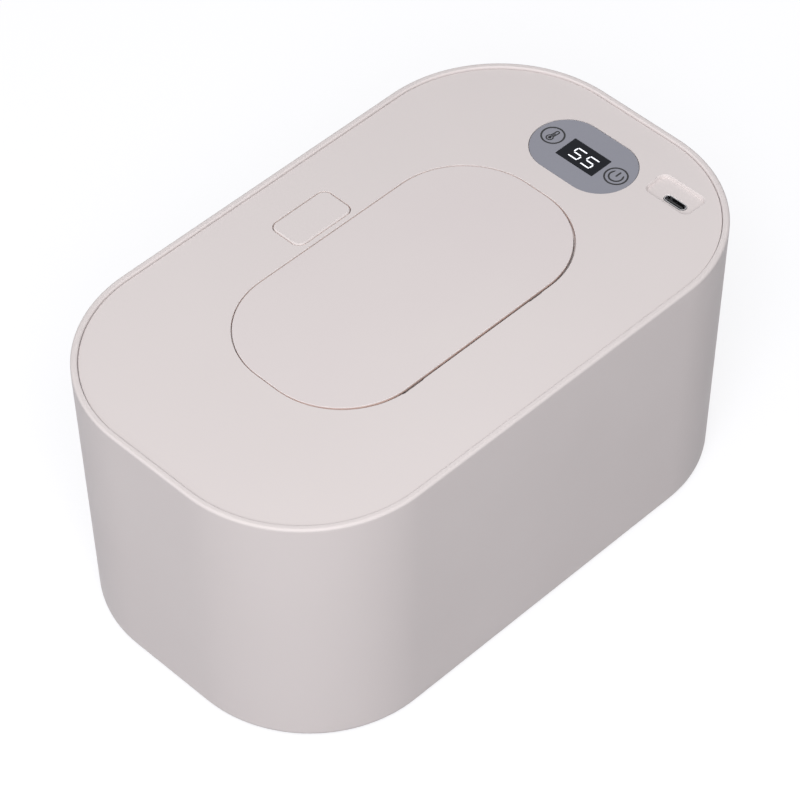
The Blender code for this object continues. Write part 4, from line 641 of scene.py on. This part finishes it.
# %% [markdown]
# ## Gate, its frame and the lid's gasket
# Under the lid, a soft gate with a long slot holds the next wipe. A ring clamps it to the
# bowl's floor, and a silicone ring under the lid's edge keeps the moisture in.

# %% Gate and frame
SLOT = (44.0, 9.0, 4.3)
gate = solid("gate_skin", widened(GATE, 3.0), OPENING_AT,
             [(0.0, 91.2), (0.0, 90.0), (3.3, 90.0), (3.3, 88.4)],
             [(0.0, 91.2), (4.7, 91.2), (5.0, 91.0)]
             + [(5.0 + i, z) for i, z in floor_round(0.0, 89.2, 1.2, -1)])
cut(gate, flared("slot", SLOT, OPENING_AT, 89.2, 0.3, [(0.0, 87.0)]))
smooth(gate)
settle(gate, "cover", "silicone", "dispensing_gate")
clamp_size = widened(GATE, 4.5)
clamp = solid("gate_clamp", clamp_size, OPENING_AT, [(0.0, 92.3), (0.0, 91.5)],
              outer_round(0.0, 92.7, 0.4) + mouth_round(4.5, 92.7, 0.4) + [(4.5, 92.0)])
cut(clamp, solid("clamp_hole", GATE, OPENING_AT, [(0.0, 92.2), (0.0, 91.0)]))
smooth(clamp)
settle(clamp, "cover", "liner_plastic", "gate_frame")

# %% Gasket
gasket = solid("lid_seal", widened(OPENING, -5.44), OPENING_AT, [(0.0, 97.8), (0.0, 97.0)]
               + outer_round(0.0, 96.4, 0.6, -1)[1:])
cut(gasket, flared("gasket_hole", widened(OPENING, -7.44), OPENING_AT, 97.8, 0.1, [(0.0, 95.0)]))
smooth(gasket)
settle(gasket, "lid", "silicone", "lid_gasket")

# %% [markdown]
# ## Tub
# The tub hangs by its flange inside the case and is the deepest walk: out over the flange, down
# the outside, round the floor, and the same again inside.

# %% Model the tub
flange = at(2.55, 86.0)[0]
tub = solid("tub_shell", widened(CASE, -flange), (0, 0),
            [(0.0, 88.0), (0.0, 86.0), (at(8.5, 86.0)[0] - flange, 86.0)]
            + relative(outer_round(at(8.5, 20.5)[0], 11.0, 9.5, -1, 8), flange),
            [(0.0, 88.0), (at(10.0, 88.0)[0] - flange - 0.4, 88.0),
             (at(10.0, 88.0)[0] - flange, 87.6)]
            + relative(floor_round(at(10.0, 20.5)[0], 12.5, 8.0, -1, 8), flange), steps=32)
bosses = [rod("boss", 3.2, (x, y, 4.3), (x, y, 11.5))
          for x in (-58.05, 58.05) for y in (-34.05, 34.05)]
combine(tub, bosses)
smooth(tub)
settle(tub, "case", "liner_plastic", "inner_tub")

# %% [markdown]
# ## Softened copies of the frame's pieces
# A few pieces from the frame show when the cover is off or from below. Their shapes are right
# already, so a copy of the mesh is merged, its edges get a small bevel, and it is shaded smooth.
# The three coil springs are copied too, each with a mesh of its own.

# %% Copy, merge and soften
def from_frame(name, width=0.0, angle=32):
    """A copy of a frame piece with merged points, with its edges bevelled if a width is given."""
    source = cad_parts[name]
    piece = bpy.data.objects.new(name + "_soft", source.data.copy())
    bpy.context.scene.collection.objects.link(piece)
    piece.data.transform(source.matrix_world)
    make_active(piece)
    bpy.ops.object.mode_set(mode="EDIT")
    bpy.ops.mesh.select_all(action="SELECT")
    bpy.ops.mesh.remove_doubles(threshold=1e-6)
    bpy.ops.mesh.dissolve_limited(angle_limit=math.radians(0.5))
    bpy.ops.object.mode_set(mode="OBJECT")
    if width:
        soften(piece, width, 2, 50)
    return smooth(piece, angle)


base = settle(from_frame("base_plate", 0.4), "case", "shell_plastic", "base_plate")
plug = settle(from_frame("cover_liner", 0.25), "cover", "liner_plastic", "cover_liner")
seal = settle(from_frame("cover_seal", 0.3), "cover", "silicone", "cover_seal")
slider = settle(from_frame("latch_slider", 0.15), "latch", "latch_plastic", "latch_slider")
feet = [settle(from_frame(f"foot_{n}", 0.4), "case", "rubber", f"foot_{n}")
        for n in range(1, 5)]

# %% Copies of the springs
springs = []
for name, joint, axis, fixed in (("button_spring", "button_press", 2, 88.3),
                                 ("latch_spring_left", "latch_slide", 1, 45.9),
                                 ("latch_spring_right", "latch_slide", 1, 45.9)):
    low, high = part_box(name)
    spring = settle(from_frame(name, angle=60), "cover", "steel", name)
    anchor = (low + high) / 2
    anchor[axis] = fixed * MM
    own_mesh(spring)
    springs.append(spring)

# %% [markdown]
# ## Materials
# The shell is a matte moulded plastic. Close up, such a surface has a fine spark-eroded grain,
# a faint drift in tone and patches that hands have polished. These three effects are needed by
# many materials, so each is a node group with its own inputs. The groups only put out values
# that change over the surface, and the shader itself stays in the material. A fourth group
# finds the walls of the seams, where a warmer, darker tone is painted in: painted shade that
# stands for light bounced many times in the narrow gaps.

# %% Node group helpers
def new_group(name, inputs, outputs):
    """An empty shader group with named sockets."""
    group = bpy.data.node_groups.new(name, "ShaderNodeTree")
    for label, kind, value in inputs:
        socket = group.interface.new_socket(name=label, in_out="INPUT", socket_type=kind)
        if value is not None:
            socket.default_value = value
    for label, kind in outputs:
        group.interface.new_socket(name=label, in_out="OUTPUT", socket_type=kind)
    group_in = group.nodes.new("NodeGroupInput")
    group_out = group.nodes.new("NodeGroupOutput")
    return group, group_in, group_out


def node(tree, kind, **values):
    made = tree.nodes.new(kind)
    for key, value in values.items():
        setattr(made, key, value)
    return made


# %% Grain: the height of a moulded surface
grain, grain_in, grain_out = new_group(
    "moulded_grain",
    [("Vector", "NodeSocketVector", None), ("Grain Scale", "NodeSocketFloat", 2500.0),
     ("Ripple Scale", "NodeSocketFloat", 60.0), ("Ripple Share", "NodeSocketFloat", 0.3)],
    [("Height", "NodeSocketFloat")])
fine = node(grain, "ShaderNodeTexNoise")
fine.inputs["Detail"].default_value = 2.0
ripple = node(grain, "ShaderNodeTexNoise")
ripple.inputs["Detail"].default_value = 1.0
mixed = node(grain, "ShaderNodeMix", data_type="FLOAT")
grain.links.new(grain_in.outputs["Vector"], fine.inputs["Vector"])
grain.links.new(grain_in.outputs["Vector"], ripple.inputs["Vector"])
grain.links.new(grain_in.outputs["Grain Scale"], fine.inputs["Scale"])
grain.links.new(grain_in.outputs["Ripple Scale"], ripple.inputs["Scale"])
grain.links.new(grain_in.outputs["Ripple Share"], mixed.inputs["Factor"])
grain.links.new(fine.outputs["Fac"], mixed.inputs["A"])
grain.links.new(ripple.outputs["Fac"], mixed.inputs["B"])
grain.links.new(mixed.outputs["Result"], grain_out.inputs["Height"])

# %% Tone drift: a colour that wanders between two
tone, tone_in, tone_out = new_group(
    "tone_drift",
    [("Vector", "NodeSocketVector", None), ("Colour A", "NodeSocketColor", (1, 1, 1, 1)),
     ("Colour B", "NodeSocketColor", (1, 1, 1, 1)), ("Patch Scale", "NodeSocketFloat", 12.0)],
    [("Colour", "NodeSocketColor")])
patches = node(tone, "ShaderNodeTexNoise")
patches.inputs["Detail"].default_value = 3.0
spread = node(tone, "ShaderNodeMapRange")
spread.inputs["From Min"].default_value = 0.3
spread.inputs["From Max"].default_value = 0.7
blended = node(tone, "ShaderNodeMix", data_type="RGBA")
tone.links.new(tone_in.outputs["Vector"], patches.inputs["Vector"])
tone.links.new(tone_in.outputs["Patch Scale"], patches.inputs["Scale"])
tone.links.new(patches.outputs["Fac"], spread.inputs["Value"])
tone.links.new(spread.outputs["Result"], blended.inputs["Factor"])
tone.links.new(tone_in.outputs["Colour A"], blended.inputs[6])
tone.links.new(tone_in.outputs["Colour B"], blended.inputs[7])
tone.links.new(blended.outputs[2], tone_out.inputs["Colour"])

# %% Handling: roughness that changes where a surface has been touched
handling, handling_in, handling_out = new_group(
    "handling",
    [("Vector", "NodeSocketVector", None), ("Polished", "NodeSocketFloat", 0.3),
     ("Matte", "NodeSocketFloat", 0.5), ("Patch Scale", "NodeSocketFloat", 25.0)],
    [("Roughness", "NodeSocketFloat")])
smears = node(handling, "ShaderNodeTexNoise")
smears.inputs["Detail"].default_value = 4.0
smears.inputs["Roughness"].default_value = 0.65
range_node = node(handling, "ShaderNodeMapRange")
range_node.inputs["From Min"].default_value = 0.3
range_node.inputs["From Max"].default_value = 0.7
handling.links.new(handling_in.outputs["Vector"], smears.inputs["Vector"])
handling.links.new(handling_in.outputs["Patch Scale"], smears.inputs["Scale"])
handling.links.new(smears.outputs["Fac"], range_node.inputs["Value"])
handling.links.new(handling_in.outputs["Polished"], range_node.inputs["To Min"])
handling.links.new(handling_in.outputs["Matte"], range_node.inputs["To Max"])
handling.links.new(range_node.outputs["Result"], handling_out.inputs["Roughness"])

# %% Painted seam shade: a mask for the upright walls of the seams near the top, where a warmer, darker tone is painted in
painted_shade, painted_shade_in, painted_shade_out = new_group(
    "seam_painted_shade",
    [("Vector", "NodeSocketVector", None), ("Normal", "NodeSocketVector", None),
     ("From", "NodeSocketFloat", 0.0996), ("To", "NodeSocketFloat", 0.0992),
     ("Fade Out", "NodeSocketFloat", 0.0979), ("Reach X", "NodeSocketFloat", 0.075),
     ("Reach Y", "NodeSocketFloat", 0.055)],
    [("Mask", "NodeSocketFloat")])
split_place = node(painted_shade, "ShaderNodeSeparateXYZ")
split_normal = node(painted_shade, "ShaderNodeSeparateXYZ")
deepening = node(painted_shade, "ShaderNodeMapRange")
fading = node(painted_shade, "ShaderNodeMapRange")
fading.inputs["To Min"].default_value = 0.0
fading.inputs["To Max"].default_value = 1.0
steepness = node(painted_shade, "ShaderNodeMath", operation="ABSOLUTE")
upright = node(painted_shade, "ShaderNodeMapRange")
upright.inputs["From Min"].default_value = 0.75
upright.inputs["From Max"].default_value = 0.35
fade_end = node(painted_shade, "ShaderNodeMath", operation="ADD")
fade_end.inputs[1].default_value = 0.0003
first_two = node(painted_shade, "ShaderNodeMath", operation="MULTIPLY")
all_three = node(painted_shade, "ShaderNodeMath", operation="MULTIPLY")
painted_shade.links.new(painted_shade_in.outputs["Vector"], split_place.inputs[0])
painted_shade.links.new(painted_shade_in.outputs["Normal"], split_normal.inputs[0])
painted_shade.links.new(split_place.outputs["Z"], deepening.inputs["Value"])
painted_shade.links.new(painted_shade_in.outputs["From"], deepening.inputs["From Min"])
painted_shade.links.new(painted_shade_in.outputs["To"], deepening.inputs["From Max"])
painted_shade.links.new(split_place.outputs["Z"], fading.inputs["Value"])
painted_shade.links.new(painted_shade_in.outputs["Fade Out"], fading.inputs["From Min"])
painted_shade.links.new(painted_shade_in.outputs["Fade Out"], fade_end.inputs[0])
painted_shade.links.new(fade_end.outputs[0], fading.inputs["From Max"])
painted_shade.links.new(split_normal.outputs["Z"], steepness.inputs[0])
painted_shade.links.new(steepness.outputs[0], upright.inputs["Value"])
painted_shade.links.new(deepening.outputs["Result"], first_two.inputs[0])
painted_shade.links.new(fading.outputs["Result"], first_two.inputs[1])
painted_shade.links.new(first_two.outputs[0], all_three.inputs[0])
painted_shade.links.new(upright.outputs["Result"], all_three.inputs[1])
kept = all_three
for axis in "XY":
    across = node(painted_shade, "ShaderNodeMath", operation="ABSOLUTE")
    near = node(painted_shade, "ShaderNodeMath", operation="LESS_THAN")
    limited = node(painted_shade, "ShaderNodeMath", operation="MULTIPLY")
    painted_shade.links.new(split_place.outputs[axis], across.inputs[0])
    painted_shade.links.new(across.outputs[0], near.inputs[0])
    painted_shade.links.new(painted_shade_in.outputs["Reach " + axis], near.inputs[1])
    painted_shade.links.new(kept.outputs[0], limited.inputs[0])
    painted_shade.links.new(near.outputs[0], limited.inputs[1])
    kept = limited
painted_shade.links.new(kept.outputs[0], painted_shade_out.inputs["Mask"])

# %% A material from the three effects
def rgb(red, green, blue):
    """A colour as seen on screen (0 to 255), turned into the linear values that nodes use."""
    values = []
    for channel in (red, green, blue):
        c = channel / 255
        values.append(c / 12.92 if c <= 0.04045 else ((c + 0.055) / 1.055) ** 2.4)
    return (*values, 1.0)


def material(name, colour_a, colour_b, polished, matte, grain_scale=2500.0, bump=0.008,
             ripple=0.3, ripple_scale=60.0, patch_scale=12.0, handling_scale=25.0, **constants):
    """A Principled material with drifting colour and roughness and a fine grain."""
    made = bpy.data.materials.new(name)
    made.use_nodes = True
    tree = made.node_tree
    shader = tree.nodes["Principled BSDF"]
    place = node(tree, "ShaderNodeTexCoord").outputs["Object"]
    colour = node(tree, "ShaderNodeGroup", node_tree=tone)
    colour.inputs["Colour A"].default_value = colour_a
    colour.inputs["Colour B"].default_value = colour_b
    colour.inputs["Patch Scale"].default_value = patch_scale
    rough = node(tree, "ShaderNodeGroup", node_tree=handling)
    rough.inputs["Polished"].default_value = polished
    rough.inputs["Matte"].default_value = matte
    rough.inputs["Patch Scale"].default_value = handling_scale
    height = node(tree, "ShaderNodeGroup", node_tree=grain)
    height.inputs["Grain Scale"].default_value = grain_scale
    height.inputs["Ripple Scale"].default_value = ripple_scale
    height.inputs["Ripple Share"].default_value = ripple
    relief = node(tree, "ShaderNodeBump")
    relief.inputs["Strength"].default_value = 1.0
    relief.inputs["Distance"].default_value = bump * MM
    for group in (colour, rough, height):
        tree.links.new(place, group.inputs["Vector"])
    tree.links.new(colour.outputs["Colour"], shader.inputs["Base Color"])
    tree.links.new(rough.outputs["Roughness"], shader.inputs["Roughness"])
    tree.links.new(height.outputs["Height"], relief.inputs["Height"])
    tree.links.new(relief.outputs["Normal"], shader.inputs["Normal"])
    for socket, value in constants.items():
        shader.inputs[socket.replace("_", " ")].default_value = value
    return made


def paint_shade_into_seams(made, seam_shade_colour):
    """Mixes painted shade, a warmer and darker tone, into the walls of the seams, where light has
    bounced many times.
    """
    tree = made.node_tree
    shader = tree.nodes["Principled BSDF"]
    plain = shader.inputs["Base Color"].links[0].from_socket
    place = node(tree, "ShaderNodeTexCoord")
    mask = node(tree, "ShaderNodeGroup", node_tree=painted_shade)
    toned = node(tree, "ShaderNodeMix", data_type="RGBA")
    toned.inputs[7].default_value = seam_shade_colour
    tree.links.new(place.outputs["Object"], mask.inputs["Vector"])
    tree.links.new(place.outputs["Normal"], mask.inputs["Normal"])
    tree.links.new(mask.outputs["Mask"], toned.inputs["Factor"])
    tree.links.new(plain, toned.inputs[6])
    tree.links.new(toned.outputs[2], shader.inputs["Base Color"])


def paint(piece, finish):
    """Puts the material in the piece's slots."""
    if not piece.material_slots:
        piece.data.materials.append(finish)
    for slot in piece.material_slots:
        slot.material = finish


# %% [markdown]
# Each material starts from a colour read off the real thing under soft light: a warm white shell
# with a breath of pink, a cool grey panel, a nearly black window.

# %% The finishes
shell = material("shell_plastic", rgb(222, 214, 213), rgb(220, 212, 211), 0.42, 0.52,
                 Specular_IOR_Level=0.2)
lid_shell = material("lid_plastic", rgb(222, 214, 213), rgb(220, 211, 211), 0.42, 0.52,
                     Specular_IOR_Level=0.2)
cover_shell = material("cover_plastic", rgb(222, 214, 213), rgb(220, 212, 211), 0.42, 0.52,
                       Specular_IOR_Level=0.2)
# Painted shade: a warmer, darker tone in the seam walls of the lid and the cover stands for the
# light bounced and shaded there.
paint_shade_into_seams(lid_shell, rgb(232, 205, 195))
paint_shade_into_seams(cover_shell, rgb(232, 214, 207))
liner = material("liner_plastic", rgb(214, 209, 208), rgb(209, 204, 203), 0.4, 0.5)
panel_grey = material("panel_plastic", rgb(145, 145, 155), rgb(140, 141, 151), 0.34, 0.42,
                      grain_scale=4000.0, bump=0.003, Specular_IOR_Level=0.35)
glass_black = material("window_plastic", rgb(18, 21, 29), rgb(15, 18, 26), 0.12, 0.2,
                       bump=0.0005, Specular_IOR_Level=0.14)
ink = material("ink", rgb(12, 13, 18), rgb(16, 17, 22), 0.4, 0.5, bump=0.002)
silicone = material("silicone", rgb(214, 208, 206), rgb(206, 200, 198), 0.45, 0.6,
                    grain_scale=1500.0)
rubber = material("rubber", rgb(72, 70, 70), rgb(60, 59, 60), 0.7, 0.85, bump=0.02)
foam = material("foam", rgb(226, 226, 222), rgb(212, 212, 208), 0.85, 0.95,
                grain_scale=900.0, bump=0.12, ripple=0.2)
steel = material("steel", rgb(196, 196, 198), rgb(176, 176, 180), 0.22, 0.38,
                 bump=0.002, Metallic=1.0)
aluminium = material("aluminium", rgb(214, 216, 218), rgb(198, 200, 203), 0.3, 0.45,
                     bump=0.004, Metallic=1.0)
heater_orange = material("heater_film", rgb(196, 134, 58), rgb(178, 116, 46), 0.25, 0.35,
                         bump=0.004)
board_green = material("board", rgb(38, 104, 66), rgb(30, 88, 56), 0.35, 0.5, bump=0.01)
black = material("black_plastic", rgb(34, 34, 36), rgb(26, 26, 28), 0.35, 0.5)
latch_plastic = material("latch_plastic", rgb(66, 66, 68), rgb(58, 58, 60), 0.35, 0.45)
red_lead = material("lead_red", rgb(176, 40, 34), rgb(158, 32, 28), 0.4, 0.5)

# %% Lit digits
digit_light = material("digit_light", rgb(250, 251, 255), rgb(240, 244, 252), 0.4, 0.5,
                       Emission_Strength=0.55)
digit_light.node_tree.nodes["Principled BSDF"].inputs["Emission Color"].default_value = (
    0.95, 0.97, 1.0, 1.0)

# %% Put the finishes on the new pieces
for piece, finish in ((case, shell), (cover, cover_shell), (lid, lid_shell), (button, cover_shell),
                      (panel, panel_grey), (window, glass_black), (digits, digit_light),
                      (marks, ink), (port, steel), (tongue, black), (gate, silicone),
                      (clamp, liner), (gasket, silicone), (tub, liner), (base, shell),
                      (plug, liner), (seal, silicone), (slider, latch_plastic),
                      *((foot, rubber) for foot in feet), *((spring, steel) for spring in springs)):
    paint(piece, finish)

# %% [markdown]
# The pieces that are never or hardly seen keep the frame's own meshes. Each still gets a
# material of its kind, chosen by the words in its name.

# %% Put the finishes on the frame's pieces
NODE_FINISHES = (("screw", steel), ("insulation", foam),
                 ("heating_film", heater_orange), ("heater_plate", aluminium),
                 ("sensor", black), ("fuse", steel), ("lead_red", red_lead),
                 ("lead_black", black), ("spring", steel), ("pin", steel),
                 ("control_board", board_green), ("display_module", black))
for name, cad_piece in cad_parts.items():
    if cad_piece.hide_render:
        continue
    found = [finish for word, finish in NODE_FINISHES if word in name]
    paint(cad_piece, found[0] if found else liner)
    print(name, "->", (found[0] if found else liner).name)

# %% [markdown]
# ## Floor and light
# The object stands on a plain white floor. The lamps stay at a level where a colour renders
# about as it was written, so the white of the background doesn't come from more light: the
# floor adds a little glow that only the camera and reflections see, and keeps the shadow. The
# sky does the same: it is white where it is looked at, and lights more from one side.

# %% Floor
FLOOR_DROP, FLOOR_GLOW = 0.02, 0.77


def looked_at(tree):
    """1 for the rays of the camera, of reflections and of glass, 0 for those that light."""
    path = node(tree, "ShaderNodeLightPath")
    total = path.outputs["Is Camera Ray"]
    for kind in ("Glossy", "Transmission"):
        either = node(tree, "ShaderNodeMath", operation="MAXIMUM")
        tree.links.new(total, either.inputs[0])
        tree.links.new(path.outputs[f"Is {kind} Ray"], either.inputs[1])
        total = either.outputs[0]
    return total


clear_selection()
bpy.ops.mesh.primitive_plane_add(size=8.0, location=(0, 0, -FLOOR_DROP * MM))
floor = bpy.context.object
floor.name = "floor"
floor_finish = bpy.data.materials.new("floor_white")
floor_finish.use_nodes = True
tree = floor_finish.node_tree
tree.nodes.clear()
output = node(tree, "ShaderNodeOutputMaterial")
matte = node(tree, "ShaderNodeBsdfDiffuse")
matte.inputs["Color"].default_value = (0.28, 0.28, 0.3, 1)
glow = node(tree, "ShaderNodeEmission")
level = node(tree, "ShaderNodeMath", operation="MULTIPLY")
level.inputs[1].default_value = FLOOR_GLOW
both = node(tree, "ShaderNodeAddShader")
tree.links.new(looked_at(tree), level.inputs[0])
tree.links.new(level.outputs[0], glow.inputs["Strength"])
tree.links.new(matte.outputs[0], both.inputs[0])
tree.links.new(glow.outputs[0], both.inputs[1])
tree.links.new(both.outputs[0], output.inputs["Surface"])
paint(floor, floor_finish)

# %% Sky
SKY_LEFT, SKY_RIGHT = 0.76, 0.24
world = bpy.data.worlds.new("studio")
bpy.context.scene.world = world
world.use_nodes = True
sky = world.node_tree
sky.nodes.clear()
sky_out = node(sky, "ShaderNodeOutputWorld")
sky_light = node(sky, "ShaderNodeBackground")
sky_white = node(sky, "ShaderNodeBackground")
sky_white.inputs["Color"].default_value = (1, 1, 1, 1)
sky_light.inputs["Color"].default_value = (0.97, 0.98, 1.0, 1)
sky_side = node(sky, "ShaderNodeSeparateXYZ")
sky_fall = node(sky, "ShaderNodeMapRange")
sky_fall.inputs["From Min"].default_value = -1.0
sky_fall.inputs["From Max"].default_value = 1.0
sky_fall.inputs["To Min"].default_value = SKY_LEFT
sky_fall.inputs["To Max"].default_value = SKY_RIGHT
sky.links.new(node(sky, "ShaderNodeTexCoord").outputs["Generated"], sky_side.inputs[0])
sky.links.new(sky_side.outputs["X"], sky_fall.inputs["Value"])
sky.links.new(sky_fall.outputs["Result"], sky_light.inputs["Strength"])
sky_mix = node(sky, "ShaderNodeMixShader")
sky.links.new(looked_at(sky), sky_mix.inputs["Fac"])
sky.links.new(sky_light.outputs[0], sky_mix.inputs[1])
sky.links.new(sky_white.outputs[0], sky_mix.inputs[2])
sky.links.new(sky_mix.outputs[0], sky_out.inputs["Surface"])


# %% Softboxes
def softbox(name, place, target, size, power, colour=(1.0, 1.0, 1.0)):
    """A square area lamp that looks at a point."""
    data = bpy.data.lights.new(name, "AREA")
    data.size, data.energy, data.color = size, power, colour
    lamp = bpy.data.objects.new(name, data)
    bpy.context.scene.collection.objects.link(lamp)
    lamp.location = place
    lamp.rotation_euler = (Vector(target) - Vector(place)).to_track_quat("-Z", "Y").to_euler()
    return lamp


softbox("key", (-0.60, -0.55, 0.98), (0, 0, 0.07), 0.7, 10.4, (1.0, 0.99, 0.985))

bpy.context.scene.view_settings.view_transform = "Standard"
